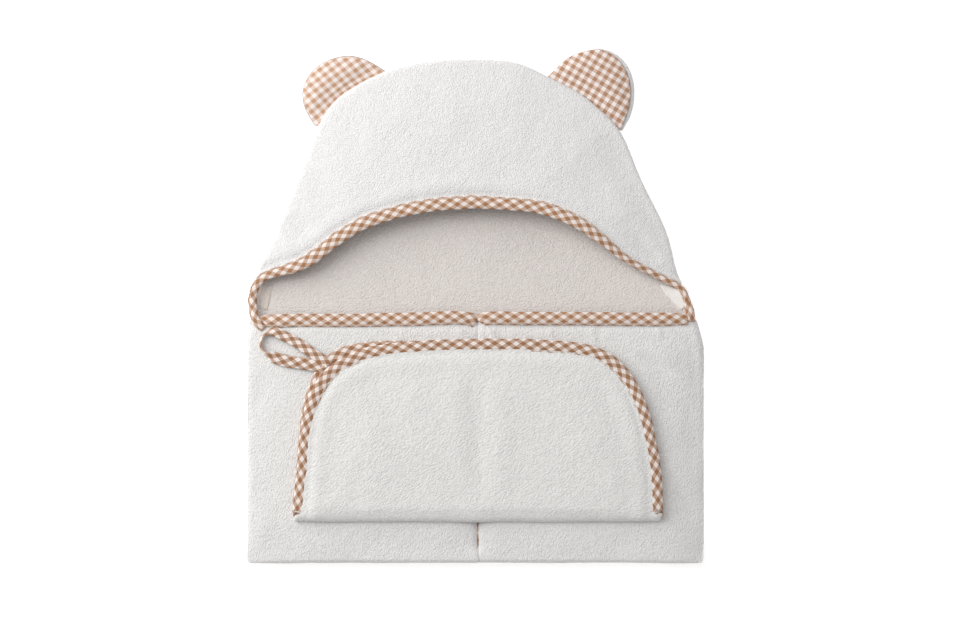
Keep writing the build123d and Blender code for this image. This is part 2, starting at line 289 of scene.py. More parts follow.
def relax(points, edges, rounds):
    """Laplacian smoothing, half way to the neighbours' mean each round."""
    first, second = edges.T
    count = np.bincount(np.concatenate([first, second]), minlength=len(points))[:, None]
    for _ in range(rounds):
        total = np.zeros_like(points)
        for axis in range(3):
            total[:, axis] = np.bincount(first, points[second, axis], len(points)) \
                + np.bincount(second, points[first, axis], len(points))
        points = points + (total / np.maximum(count, 1) - points) * 0.5
    return points


def prism(outline, z0, z1):
    """Vertices and faces of a polygon extruded from z0 to z1."""
    count = len(outline)
    verts = [(x, y, z) for z in (z0, z1) for x, y in outline]
    faces = [tuple(reversed(range(count))), tuple(range(count, 2 * count))]
    faces += [(i, (i + 1) % count, count + (i + 1) % count, count + i) for i in range(count)]
    area = 0
    for i in range(count):
        (x, y), (next_x, next_y) = outline[i], outline[(i + 1) % count]
        area += x * next_y - next_x * y
    return verts, (faces if area > 0 else [tuple(reversed(face)) for face in faces])


def box(x0, x1, y0, y1, z0, z1):
    return prism([(x0, y0), (x1, y0), (x1, y1), (x0, y1)], z0, z1)


def remeshed(name, solids, voxel, rounds):
    """One closed skin round overlapping prisms, with softened corners."""
    verts, faces = [], []
    for solid_verts, solid_faces in solids:
        first = len(verts)
        verts += solid_verts
        faces += [tuple(i + first for i in face) for face in solid_faces]
    raw = new_object(name + "_raw", verts, faces, smooth=False)
    skin = raw.modifiers.new("skin", "REMESH")
    skin.mode, skin.voxel_size, skin.adaptivity = "VOXEL", voxel / 1000, 0
    depsgraph = bpy.context.evaluated_depsgraph_get()
    mesh = bpy.data.meshes.new_from_object(raw.evaluated_get(depsgraph))
    bpy.data.objects.remove(raw)
    mesh.name = name
    piece = bpy.data.objects.new(name, mesh)
    edges = np.zeros(len(mesh.edges) * 2, int)
    mesh.edges.foreach_get("vertices", edges)
    set_points(piece, relax(get_points(piece), edges.reshape(-1, 2), rounds))
    COLLECTION.objects.link(piece)
    return piece


def inflated(name, solids, voxel, pressure, cap, pinned, frames=20):
    """Inflates a coarse copy of a padded piece with Cloth. Returns its rest points and
    how far each one moved, capped, so that the fine mesh can take the same swelling."""
    piece = remeshed(name + "_sim", solids, voxel, 3)
    rest = get_points(piece)
    group = piece.vertex_groups.new(name="pin")
    for i in np.nonzero(pinned(rest))[0]:
        group.add([int(i)], 1.0, "REPLACE")
    cloth = piece.modifiers.new("cloth", "CLOTH")
    settings = cloth.settings
    settings.quality = 5
    settings.mass = 0.3
    settings.tension_stiffness = settings.compression_stiffness = 12
    settings.shear_stiffness = 6
    settings.bending_stiffness = 0.6
    settings.use_pressure = True
    settings.uniform_pressure_force = pressure
    settings.effector_weights.gravity = 0
    settings.vertex_group_mass = "pin"
    scene = bpy.context.scene
    cloth.point_cache.frame_start, cloth.point_cache.frame_end = 1, frames
    for frame in range(1, frames + 1):
        scene.frame_set(frame)
    depsgraph = bpy.context.evaluated_depsgraph_get()
    done = bpy.data.meshes.new_from_object(piece.evaluated_get(depsgraph))
    move = mesh_vectors(done) * 1000 - rest
    scene.frame_set(1)
    bpy.data.objects.remove(piece)
    bpy.data.meshes.remove(done)
    length = np.linalg.norm(move, axis=1)
    move *= (np.minimum(length, cap) / np.maximum(length, 1e-6))[:, None]
    return rest, move


def taken(points, rest, move, neighbours=5):
    """The simulated movement at each point of a finer mesh."""
    tree = point_tree(rest)
    out = np.zeros_like(points)
    for i, point in enumerate(points):
        weights, total = 0.0, np.zeros(3)
        for _, j, distance in tree.find_n(point, neighbours):
            weight = 1.0 / (distance * distance + 1.0)
            total += move[j] * weight
            weights += weight
        out[i] = total / weights
    return out


def roughen(piece, *layers):
    """Moves points along their normals by noise. A layer is (height, wavelength, seed)."""
    points, normals = get_points(piece), mesh_vectors(piece.data, "normal")
    height = sum(size * noise(points, wave, seed) for size, wave, seed in layers)
    set_points(piece, points + normals * height[:, None])


def terry(piece, seed, loops, waves, swell=0.0):
    """Loop grain and gentle unevenness."""
    roughen(piece, (loops, 2.6, seed), (0.5 * loops, 5.5, seed + 1),
            (waves, 17.0, seed + 2), (swell, 55.0, seed + 3))
    shade_smooth(piece)


def dress(piece, material):
    piece.data.materials.clear()
    piece.data.materials.append(material)


def fit(piece, material, slot, body, *replaced):
    """Dresses a piece, rides it on one body and has it stand for CAD pieces."""
    dress(piece, material)
    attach(piece, body)
    if replaced:
        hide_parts(*replaced)


def fold_share(across, z, crease, crease_z, outward):
    """0 on the lower layer, 1 on the upper one, turning smoothly round the outside of a
    fold. across is the coordinate across the fold line, outward its sign past the fold."""
    past, rise = (across - crease) * outward, z - crease_z
    angle = np.degrees(np.arctan2(rise, np.maximum(past, 1e-6)))
    return np.where(past > 0.15, smoothstep((angle + 90) / 180), (rise > 0).astype(float))


# --------------------------------------------------------------------- strips and stitches
def side_and_up(path, up):
    """Unit sideways and height directions at each point of a path."""
    along = unit(np.gradient(path, axis=0))
    up = np.broadcast_to(np.asarray(up, float), path.shape).copy()
    up = unit(up - (up * along).sum(1)[:, None] * along)
    return np.cross(up, along), up


def tube(name, path, up, section, u_start=0.0):
    """Sweeps a closed section along a 3D path and caps both ends. up is the height
    direction, shared or one for each station. section(i, along, total) returns
    (across, height) points."""
    path = np.asarray(path, float)
    side, up = side_and_up(path, up)
    along = lengths(path)
    rings = [section(i, distance, along[-1]) for i, distance in enumerate(along)]
    count, size = len(path), len(rings[0])
    rows = [path[i] + ring[:, :1] * side[i] + ring[:, 1:2] * up[i]
            for i, ring in enumerate(rings)]
    verts = np.concatenate(rows + [rows[0].mean(0)[None], rows[-1].mean(0)[None]])
    u = u_start + along
    v = []
    for ring in rings:
        around = lengths(np.vstack([ring, ring[:1]]))
        v.append(around - around[-1] / 2)
    faces, uv = [], []
    for i in range(count - 1):
        here, ahead = i * size, (i + 1) * size
        for j in range(size):
            k = (j + 1) % size
            faces.append((here + j, here + k, ahead + k, ahead + j))
            uv += [(u[i], v[i][j]), (u[i], v[i][j + 1]),
                   (u[i + 1], v[i + 1][j + 1]), (u[i + 1], v[i + 1][j])]
    for i, centre, order in ((0, count * size, 1), (count - 1, count * size + 1, -1)):
        for j in range(size):
            corners = [(i * size + (j + 1) % size, v[i][j + 1]),
                       (i * size + j, v[i][j])][::order]
            faces.append((centre, corners[0][0], corners[1][0]))
            uv += [(u[i], 0), (u[i], corners[0][1]), (u[i], corners[1][1])]
    piece = new_object(name, verts, faces, uv)
    work = bmesh.new()
    work.from_mesh(piece.data)
    bmesh.ops.recalc_face_normals(work, faces=work.faces)
    work.to_mesh(piece.data)
    work.free()
    return piece


def round_section(radius, count):
    """A section(...) function for a plain round cord or thread."""
    angle = np.linspace(0, 2 * math.pi, count + 1)[:-1]
    ring = np.stack([np.cos(angle), np.sin(angle)], 1) * radius
    return lambda i, along, total: ring


SECTION_POINTS = 28


def binding_section(width, height, seed, taper=4.0, slack=1.0):
    """Folded binding in section: full at its positive edge, pressed in along the stitch
    line near its negative edge, and gathered a little by the sewing. It narrows within
    taper of each end, and slack scales its unevenness."""
    angle = np.linspace(0, 2 * math.pi, SECTION_POINTS + 1)[:-1]
    order = np.arange(SECTION_POINTS)

    def make(i, along, total):
        full = end_round(min(along, total - along), taper, 0.35)
        half = width * (1 + 0.035 * slack * ripple(along, 9.0, seed)) / 2
        shift = 0.28 * slack * ripple(along, 12.0, seed + 5)
        x = np.sign(np.cos(angle)) * np.abs(np.cos(angle)) ** 0.75 * half
        z = np.sign(np.sin(angle)) * np.abs(np.sin(angle)) ** 0.62 * height / 2
        groove = np.exp(-((x / half + 0.66) / 0.13) ** 2)
        phase = 2 * math.pi * along / 6.4 + 2.2 * ripple(along, 21.0, seed + 2)
        pucker = 0.5 + 0.5 * math.sin(phase)
        z = np.where(z > 0, z * (1 - groove * (0.24 + 0.16 * pucker * slack)), z)
        across = x[::4]
        lumps = noise(np.column_stack([np.full(len(across), along), across]), 5.0, seed + 7)
        lump = np.interp(order, order[::4], lumps)
        z = np.where(z > 0, z * (1 + 0.07 * slack * lump), z)
        return np.stack([x * (0.75 + 0.25 * full) + shift, z * full], 1)
    return make


def mirrored(section, scale):
    """The section with its stitch line on the other side, scale(along, total) as wide."""
    def make(i, along, total):
        wide = scale(along, total)
        return section(i, along, total) * np.array([[-wide, 0.78 + 0.22 * wide]])
    return make


def tube_share(stations):
    """One weight per station to one per vertex of a binding tube and its two cap centres."""
    return np.append(np.repeat(stations, SECTION_POINTS), stations[[0, -1]])


def stitches(name, path, up, offset, lift, pitch=3.3, length=2.3, radius=0.17):
    """A row of separate thread stitches beside a path, each sunk at both ends."""
    side, up = side_and_up(path, up)
    line = path + side * offset
    along = lengths(line)

    def at(distance, rows):
        return np.array([np.interp(distance, along, column) for column in rows.T])

    ring = [(math.cos(a), math.sin(a)) for a in np.linspace(0, 2 * math.pi, 7)[:-1]]
    verts, faces = [], []
    begin = pitch
    while begin + length < along[-1] - 1:
        base = len(verts)
        for part in (0, 0.18, 0.5, 0.82, 1):
            place = begin + part * length
            middle, rise, across = at(place, line), at(place, up), at(place, side)
            thick = radius * (0.35 if part in (0, 1) else 1)
            height = lift - 0.32 * (2 * part - 1) ** 4
            for x, z in ring:
                verts.append(middle + across * x * thick * 1.15 + rise * (height + z * thick))
        for k in range(4):
            for j in range(6):
                here, beside = base + k * 6 + j, base + k * 6 + (j + 1) % 6
                faces.append((here, beside, beside + 6, here + 6))
        faces.append(tuple(base + j for j in reversed(range(6))))
        faces.append(tuple(base + 24 + j for j in range(6)))
        begin += pitch
    return new_object(name, verts, faces)


def planar_uv(piece, flat, grain, origin):
    directions = np.array([[repeat * math.cos(math.radians(angle)),
                            repeat * math.sin(math.radians(angle))]
                           for angle, repeat in grain]).T
    uv = (flat - origin) @ np.linalg.inv(directions).T * CHECK_REPEAT
    mesh = piece.data
    corner = np.zeros(len(mesh.loops), int)
    mesh.loops.foreach_get("vertex_index", corner)
    layer = mesh.uv_layers.new(name="cloth")
    layer.data.foreach_set("uv", (uv[corner] / 1000).astype(np.float32).ravel())


# ------------------------------------------------------------------ materials, in metres
class Graph:
    """A new material's nodes, ending in a Principled shader."""

    def __init__(self, name):
        self.material = bpy.data.materials.new(name)
        self.material.use_nodes = True
        self.tree = self.material.node_tree
        self.tree.nodes.clear()
        output = self.node("OutputMaterial")
        self.shader = self.node("BsdfPrincipled")
        self.tree.links.new(self.shader.outputs[0], output.inputs[0])

    def feed(self, node, inputs):
        """Links or sets inputs, keyed by socket name or number."""
        for key, value in inputs.items():
            socket = node.inputs[key]
            if isinstance(value, bpy.types.NodeSocket):
                self.tree.links.new(value, socket)
            else:
                socket.default_value = (*value, 1) if socket.type == "RGBA" else value

    def node(self, kind, inputs={}, **settings):
        node = self.tree.nodes.new("ShaderNode" + kind)
        for key, value in settings.items():
            setattr(node, key, value)
        self.feed(node, inputs)
        return node

    def math(self, operation, *values):
        return self.node("Math", dict(enumerate(values)), operation=operation).outputs[0]

    def vector_math(self, operation, *values):
        node = self.node("VectorMath", dict(enumerate(values)), operation=operation)
        return node.outputs[0]

    def noise(self, vector, **inputs):
        return self.node("TexNoise", {"Vector": vector, **inputs})

    def mix(self, factor, first, second, blend="MIX"):
        inputs = {0: factor, 6: first, 7: second}
        return self.node("Mix", inputs, data_type="RGBA", blend_type=blend).outputs[2]

    def remap(self, value, low, high, to_low=0.0, to_high=1.0, **settings):
        inputs = {0: value, 1: low, 2: high, 3: to_low, 4: to_high}
        return self.node("MapRange", inputs, **settings).outputs[0]

    def bump(self, height, strength, distance):
        inputs = {"Strength": strength, "Distance": distance, "Height": height}
        self.feed(self.shader, {"Normal": self.node("Bump", inputs).outputs[0]})

    def surface(self, inputs):
        """Feeds the shader and returns the finished material."""
        self.feed(self.shader, inputs)
        return self.material


def terry_material(name, loop, crevice_shade, depth=0.0005, tint=0.5, lie_deg=0.0, stretch=1.0):
    """Cotton terry: packed loops drawn out by stretch along lie_deg, with slow changes of
    tone. loop is the loops' colour; the second colour is painted shade in the low parts of
    the bump, between the loops. depth is the bump and tint the slow change."""
    graph = Graph(name)
    place = graph.node("TexCoord").outputs["Object"]
    turned = graph.node("VectorRotate", {"Vector": place, "Angle": math.radians(-lie_deg)},
                        rotation_type="Z_AXIS")
    space = graph.vector_math("MULTIPLY", turned.outputs[0], (1 / stretch, 1, 1))
    warp = graph.noise(space, Scale=300.0, Detail=2.0)
    warped = graph.vector_math("MULTIPLY_ADD", warp.outputs["Color"], (0.0014,) * 3, space)
    cells = graph.node("TexVoronoi", {"Scale": 880.0, "Smoothness": 0.5, "Randomness": 1.0,
                                      "Vector": warped}, feature="SMOOTH_F1")
    fine = graph.noise(space, Scale=1900.0, Detail=3.0, Roughness=0.62).outputs["Fac"]
    middle = graph.noise(space, Scale=480.0, Detail=3.0, Roughness=0.6).outputs["Fac"]
    slow = graph.noise(place, Scale=30.0, Detail=4.0, Roughness=0.55).outputs["Fac"]
    loops = graph.math("SUBTRACT", 1.0, cells.outputs["Distance"])
    height = graph.math("MULTIPLY_ADD", fine, 0.5,
                        graph.math("MULTIPLY_ADD", middle, 0.8, loops))
    graph.bump(height, strength=1.0, distance=depth)
    # the low parts of the bump take the second colour: painted shade between the terry loops
    base = graph.mix(graph.remap(height, low=0.9, high=1.65), crevice_shade, loop)
    change = graph.remap(slow, low=0.3, high=0.7)
    colour = graph.mix(graph.math("MULTIPLY", change, tint * 0.14), base,
                       tuple(c * 0.86 for c in loop))
    return graph.surface({
        "Base Color": colour,
        "Roughness": graph.math("MULTIPLY_ADD", middle, 0.12, 0.84),
        "Specular IOR Level": 0.12,
        "Sheen Weight": 0.25,
        "Sheen Roughness": 0.6,
    })


def gingham_material(name, tones, repeat_u, repeat_v, bias):
    """Woven check in tones (white, half, brown). On the bias the check stands on its
    corner and the two repeats are its diagonals."""
    white, half, brown = tones
    graph = Graph(name)
    uv = graph.node("UVMap", uv_map="cloth").outputs[0]
    wobble = graph.noise(uv, Scale=210.0, Detail=2.0)
    wobbled = graph.vector_math("MULTIPLY_ADD", wobble.outputs["Color"],
                                (0.0006, 0.0006, 0.0), uv)
    axes = graph.node("SeparateXYZ", {0: wobbled}).outputs
    u = graph.math("MULTIPLY", axes[0], 1 / repeat_u)
    v = graph.math("MULTIPLY_ADD", axes[1], 1 / repeat_v, 0.0)
    if bias:
        u, v = graph.math("ADD", u, v), graph.math("SUBTRACT", u, v)

    def stripe(position):
        return graph.remap(graph.math("PINGPONG", position, 0.5), low=0.232, high=0.268,
                           interpolation_type="SMOOTHSTEP")

    stripe_u, stripe_v = stripe(u), stripe(v)
    threads = graph.noise(uv, Scale=1700.0, Detail=2.0, Roughness=0.6).outputs["Fac"]
    fading = graph.noise(uv, Scale=120.0, Detail=3.0).outputs["Fac"]
    light = graph.mix(stripe_u, white, half)
    dark = graph.mix(stripe_u, half, brown)
    base = graph.mix(stripe_v, light, dark)
    grain = graph.remap(threads, low=0.3, high=0.7, to_low=0.88, to_high=1.06)
    grey = graph.node("CombineColor", {0: grain, 1: grain, 2: grain}).outputs[0]
    base = graph.mix(1.0, base, grey, blend="MULTIPLY")
    base = graph.mix(graph.math("MULTIPLY", fading, 0.08), base, white)

    # over-and-under weave at thread scale
    thread_wave = 2 * math.pi / 0.00062
    wave_u = graph.math("SINE", graph.math("MULTIPLY", axes[0], thread_wave))
    wave_v = graph.math("SINE", graph.math("MULTIPLY", axes[1], thread_wave))
    weave = graph.math("MULTIPLY", wave_u, wave_v)
    graph.bump(graph.math("MULTIPLY_ADD", weave, 0.35, threads),
               strength=0.8, distance=0.00022)
    return graph.surface({
        "Base Color": base,
        "Roughness": graph.math("MULTIPLY_ADD", threads, 0.15, 0.74),
        "Specular IOR Level": 0.18,
        "Sheen Weight": 0.12,
    })


def thread_material(name, colour):
    graph = Graph(name)
    place = graph.node("TexCoord").outputs["Object"]
    twist = graph.node("TexWave", {"Scale": 900.0, "Distortion": 3.0, "Detail": 1.0,
                                   "Vector": place}, bands_direction="DIAGONAL").outputs["Fac"]
    graph.bump(twist, strength=0.7, distance=0.0001)
    return graph.surface({
        "Base Color": graph.mix(twist, tuple(c * 0.82 for c in colour), colour),
        "Roughness": 0.6,
        "Specular IOR Level": 0.3,
    })


TERRY = terry_material("terry_white", loop=(0.90, 0.892, 0.88), crevice_shade=(0.75, 0.735, 0.722),
                       depth=0.0006, lie_deg=80, stretch=1.4)
HOOD_TERRY = terry_material("terry_hood", loop=(0.915, 0.905, 0.90),
                            crevice_shade=(0.775, 0.765, 0.76), depth=0.0006)
# The lining's colour is the cloth's duller inner side, darkened and warmed further as painted
# shade from the hood front over it.
LINING = terry_material("terry_lining", loop=(0.82, 0.775, 0.75),
                        crevice_shade=(0.685, 0.635, 0.605), depth=0.00055, tint=0.6, lie_deg=20,
                        stretch=1.3)
# A darker tone for the left lower corner's patch: painted shade on the facet beyond its fold line.
SHADED_CORNER_PATCH = terry_material("terry_corner_painted_shade", loop=(0.76, 0.70, 0.66),
                              crevice_shade=(0.64, 0.58, 0.53), depth=0.0003)
# A lighter tone than the lining for the right lower corner's patch: painted light on the facet
# beyond its fold line, which faces the key light.
LIT_CORNER_PATCH = terry_material("terry_corner_painted_light", loop=(0.875, 0.845, 0.815),
                        crevice_shade=(0.81, 0.775, 0.745), depth=0.00022)
CLOTH_TERRY = terry_material("terry_washcloth", loop=(0.885, 0.877, 0.862),
                             crevice_shade=(0.74, 0.728, 0.71), lie_deg=35, stretch=1.8)

# Gingham tones are (white, half, brown).
BINDING_WHITE, EAR_WHITE = (0.93, 0.835, 0.79), (0.955, 0.87, 0.83)
BINDING_TONES = (BINDING_WHITE, (0.62, 0.437, 0.337), (0.39, 0.18, 0.075))
CLOTH_BINDING_TONES = (BINDING_WHITE, (0.555, 0.385, 0.292), (0.335, 0.152, 0.062))
# The two ears share one check; the left ear's tones are lighter and the right ear's darker as
# painted light and shade, the left ear lit more by the key light from the left.
EAR_TONES = {
    "left": (EAR_WHITE, (0.79, 0.595, 0.50), (0.575, 0.33, 0.195)),
    "right": (EAR_WHITE, (0.70, 0.51, 0.42), (0.455, 0.24, 0.13)),
}
BIAS = dict(repeat_u=0.0116, repeat_v=0.00775, bias=True)
SQUARE = dict(repeat_u=CHECK_REPEAT / 1000, repeat_v=CHECK_REPEAT / 1000, bias=False)
BINDING = gingham_material("gingham_bias", BINDING_TONES, **BIAS)
CLOTH_BINDING = gingham_material("gingham_bias_washcloth", CLOTH_BINDING_TONES, **BIAS)
EAR_CHECK = {side: gingham_material(f"gingham_ear_{side}", EAR_TONES[side], **SQUARE)
             for side in ("left", "right")}
BATTING = terry_material("batting", loop=(0.9, 0.9, 0.89), crevice_shade=(0.8, 0.8, 0.79),
                         depth=0.0003)
THREAD = thread_material("sewing_thread", (0.80, 0.72, 0.66))
# Grey thread for a thin cord round each ear's rounded edge: a dark line put as painted shade where
# the edge falls into shadow.
EAR_EDGE_SHADE_THREAD = thread_material("ear_edge_shade_thread", (0.60, 0.555, 0.545))


# --------------------------------------------------------------- folded body
def sag(x, y=0.0):
    """How far the folded stack's upper side falls away towards its two folded edges."""
    x = np.asarray(x, float)
    less = 1 - 0.6 * smoothstep((np.asarray(y, float) - 50.0) / 40.0)
    return np.where(x < 0, 4.6 * np.clip((-x - 128.0) / 60.0, 0, 1.02) ** 2.0,
                    5.4 * np.clip((x - 128.0) / 60.0, 0, 1.02) ** 2.3 * less)


def sag_low(y):
    """And towards the fold at the bottom."""
    return 1.9 * smoothstep((-56.0 - y) / 42.0)


def squeeze(points):
    """The shoulders are a little narrower than the folded body below them."""
    points = np.array(points, float)
    x, y = points[:, 0], points[:, 1]
    right = np.clip((x - 140) / 47.0, 0, 1.05)
    left = np.clip((-x - 140) / 47.0, 0, 1.05)
    points[:, 0] = x - right * 6.6 * smoothstep((y - 78) / 34.0) \
        + left * 1.8 * smoothstep((y - 82) / 20.0)
    return points


def nose(z, inset, radius, middle_z, low):
    """Rounds a layer's edge: heights close on middle_z, down to the share low, as the
    inset from the edge falls from radius to 0."""
    part = 1 - np.clip(inset, 0, radius) / radius
    full = np.where(inset < radius, np.sqrt(np.clip(1 - part ** 2, 0, 1)), 1)
    return middle_z + (z - middle_z) * np.maximum(full, low)


# lap: how far the inner edge stands past (left) or short of (right) the slit line.
# reach, bend, deep: the roll down into the gap. draw_back: how much the edge opens there.
# Creases are (x0, y0, x1, y1, width, height).
FLAPS = {
    "left": dict(sign=-1, lap=2.2, reach=26.0, bend=1.8, deep=3.3, draw_back=2.75, seed=11,
                 creases=[
        (-60, 98, -66, 84, 4.0, 0.5), (-14, 98, -10, 84, 4.0, 0.8),
        (-176, 60, -186, 12, 9.0, -0.8), (-170, -40, -182, -92, 10, 0.8),
        (-90, -70, -40, -90, 10, -0.6), (-150, -74, -100, -92, 8, 0.6),
    ]),
    "right": dict(sign=1, lap=-0.9, reach=20.0, bend=1.7, deep=2.5, draw_back=1.45, seed=31,
                  creases=[
        (12, 99, 16, 82, 2.6, 0.9), (19, 99, 24, 84, 2.4, -0.6),
        (94, 99, 99, 82, 2.6, 0.6), (101, 99, 104, 84, 2.6, -0.5),
        (134, 78, 164, 56, 4.5, -1.3), (140, 84, 168, 66, 5.0, 0.9),
        (60, 99, 64, 88, 3.0, 0.7), (176, 40, 184, -20, 9, -0.8),
        (158, -8, 186, -44, 7.0, 0.9), (164, -34, 186, -66, 6.0, -0.9),
        (156, -62, 184, -88, 7.0, 0.8), (116, -72, 160, -94, 8.0, -0.6),
        (176, 86, 186, 40, 6.0, -0.8), (158, 30, 182, 2, 8.0, 0.6),
        (150, 99, 154, 88, 3.0, 0.8), (60, -70, 110, -92, 10, 0.7),
    ]),
}


def side_flap(side, sign, lap, reach, bend, deep, draw_back, seed, creases):
    """One flap folded over the body. Its x is measured outwards, so both flaps match."""
    inner = sign * (SLIT_X + lap)
    outer = HALF_WIDTH + 0.7
    y0, y1 = FLAP_Y0 + 1.4, FLAP_Y1 - 5.6
    z_top = 22.9
    blocks = [    # x0, x1, y0, y1, z0, z1
        (inner, 80, y0, y1, 16.75, z_top),
        (78, 185, y0, y1, 18.3, z_top),
        (184, outer, y0, y1, 13.3, z_top),
        (179.5, outer, y0, y1, 13.3, 16.1),
        (inner, outer, y0, y0 + 2.6, 16.75, z_top),
    ]
    piece = remeshed(f"{side}_side_flap_cloth",
                     [box(*sorted((sign * x0, sign * x1)), *rest) for x0, x1, *rest in blocks],
                     1.45, 5)
    start = get_points(piece)
    x, y, z = start[:, 0] * sign, start[:, 1], start[:, 2]
    share = fold_share(x, z, 184.6, 16.43, 1)
    top = np.clip((z - 17.5) / 5.0, 0, 1)
    z = nose(z, y - y0, 2.4, 13.25, 0.55)
    from_slit = x - inner
    # the flaps roll down into the gap between them below the washcloth and only just
    # meet elsewhere
    gap = smoothstep((y + 92) / 12.0) * smoothstep((-40 - y) / 20.0)
    foot = smoothstep((-80 - y) / 8.0)
    z = z - top * (0.35 + deep * gap) * np.clip(1 - from_slit / reach, 0, 1) ** bend
    z = nose(z, from_slit, 2.4, 18.4, 0.94 - 0.5 * gap)
    if side == "left":
        z = z - top * 0.35 * np.clip(1 - from_slit / 8.0, 0, 1) * (1 - gap) * (1 - foot)
    else:
        z = z - top * 0.15 * np.clip(1 - from_slit / 18.0, 0, 1) ** 1.5 * foot
    x = x + smoothstep(1 - from_slit / 9.0) * gap * draw_back
    z = nose(z, outer - x, 5.2, 18.1, 0.28)
    fall = (sag(x * sign, y) + sag_low(y)) / 6.0 * 0.93
    z = np.where(z > 16.9, 16.9 + (z - 16.9) * (1 - fall), z)
    # pressed in where the binding is sewn on
    z = z - top * 1.0 * np.exp(-((y - 98.2) / 2.0) ** 2) - top * 0.9 * smoothstep((y - 98.5) / 2.0)
    z = z + top * ridges(start, creases)
    set_points(piece, squeeze(np.stack([x * sign, y, z], 1)))
    terry(piece, seed, loops=0.15, waves=0.26, swell=0.4)
    dress(piece, TERRY)
    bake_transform(piece)
    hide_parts(f"{side}_side_flap")


def fold_strip(name, y_fold, z_fold, outward, radii, reach):
    """Cloth lying round a fold line along X, from upper_body's layer to lower_body's.
    radii are its inner and outer ones, reach its legs' length."""
    def side_of(radius, count):
        leg = np.linspace(1, 0, 5)[:-1]
        thin = radius - (0.35 if radius > 2 else -0.2) * leg
        points = [(-outward * part * reach, height) for part, height in zip(leg, thin)]
        for degrees in np.linspace(90, -90, count):
            turn = math.radians(degrees)
            points.append((outward * radius * math.cos(turn), radius * math.sin(turn)))
        return points + [(-outward * part * reach, -height)
                         for part, height in zip(leg[::-1], thin[::-1])]

    inner, outer = radii
    ring = np.array(side_of(outer, 19) + side_of(inner, 9)[::-1])
    x = np.arange(-SEGMENT_HALF + 0.8, SEGMENT_HALF - 0.79, 2.4)
    path = np.column_stack([x, np.full(len(x), y_fold), np.full(len(x), z_fold)])

    def section(i, along, total):
        size = end_round(min(along, total - along), 4.0, 0.62)
        return ring * np.array([[size, 0.8 + 0.2 * size]])

    piece = tube(name, path, (0, 0, 1), section)
    points = get_points(piece)
    roughen(piece, (0.12, 6.0, 90), (0.2, 25.0, 91))
    keep_above(piece, 0.05)
    set_points(piece, squeeze(get_points(piece)))
    dress(piece, TERRY)
    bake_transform(piece)


def folded_segment(name, y0, back_z, flap_z):
    """A full-width layer and two flaps, split at the slit. Heights are (z0, z1)."""
    return remeshed(name, [
        box(-SEGMENT_HALF, SEGMENT_HALF, y0, SEGMENT_Y1, *back_z),
        box(-SEGMENT_HALF, SLIT_X - 1.7, y0, SEGMENT_Y1, *flap_z),
        box(SLIT_X + 1.7, SEGMENT_HALF, y0, SEGMENT_Y1, *flap_z)], 1.9, 3)


def middle_segment():
    y0 = MIDDLE_Y0 + 1.4
    piece = folded_segment("middle_segment_cloth", y0, (9.4, 13.0), (6.7, 9.9))
    points = get_points(piece)
    points[:, 2] = nose(points[:, 2], points[:, 1] - y0, 5.5, 13.0, 0.45)
    points[:, 2] = nose(points[:, 2], SEGMENT_HALF - np.abs(points[:, 0]), 3.4, 9.85, 0.3)
    set_points(piece, squeeze(points))
    terry(piece, 51, loops=0.12, waves=0.1)
    fit(piece, TERRY, "terry", "middle_segment", "middle_back_layer", "middle_front_flaps")


def lower_segment():
    piece = folded_segment("lower_segment_cloth", LOWER_HEM_Y, (0.15, 3.5), (3.0, 6.35))
    points = get_points(piece)
    points[:, 2] = nose(points[:, 2], SEGMENT_HALF - np.abs(points[:, 0]), 3.4, 3.2, 0.3)
    set_points(piece, squeeze(points))
    terry(piece, 61, loops=0.12, waves=0.08)
    keep_above(piece, 0.05)
    fit(piece, TERRY, "terry", "lower_segment", "lower_back_layer", "lower_front_flaps")


def hem_bindings():
    end, y = SEGMENT_HALF - 0.6, LOWER_HEM_Y + 3.6
    for name, x0, x1, z, u_start, replaced in (
            ("back", -end, end, 1.7, 0, ["lower_hem_binding"]),
            ("left_flap", -end, SLIT_X - 1.9, 4.8, 40, []),
            ("right_flap", SLIT_X + 1.9, end, 4.8, 90, [])):
        piece = tube(f"hem_binding_{name}", resample([(x0, y, z), (x1, y, z)], 1.6), (0, 0, 1),
                     binding_section(10.6, 3.1, 71, taper=3.0, slack=0.5), u_start)
        fit(piece, BINDING, "gingham_binding", "lower_segment", *replaced)


def fold_strips():
    """The cloth carries on round both fold lines."""
    fold_strip("bottom_fold_strip", MIDDLE_Y0 + 4.1, 13.1,
               outward=-1, radii=(0.45, 2.95), reach=9.0)
    fold_strip("top_fold_strip", MIDDLE_Y1 - 0.6, 6.5,
               outward=1, radii=(0.45, 6.2), reach=7.0)


def upper_back():
    piece = remeshed("upper_back_cloth",
                     [box(-181, 181, FLAP_Y0 + 1.9, 107.4, 13.25, 16.15)], 2.0, 3)
    set_points(piece, squeeze(get_points(piece)))
    terry(piece, 81, loops=0.14, waves=0.1)
    fit(piece, TERRY, "terry", "towel_body", "upper_back_panel")


# ------------------------------------------------------------------------ hood
HOOD_CURVE = smooth_curve(to_hood(HOOD_OUTLINE), 1.2)
MOUTH_CURVE = smooth_curve(to_hood(MOUTH), 1.2)
# Lines across the lower corners where the lining is folded: (x, y), (x, y), lift per mm.
CORNER_FOLDS = [((155.0, 132.5), (169.0, 110.0), 0.34), ((-164.5, 110.0), (-168.5, 133.0), -0.14)]
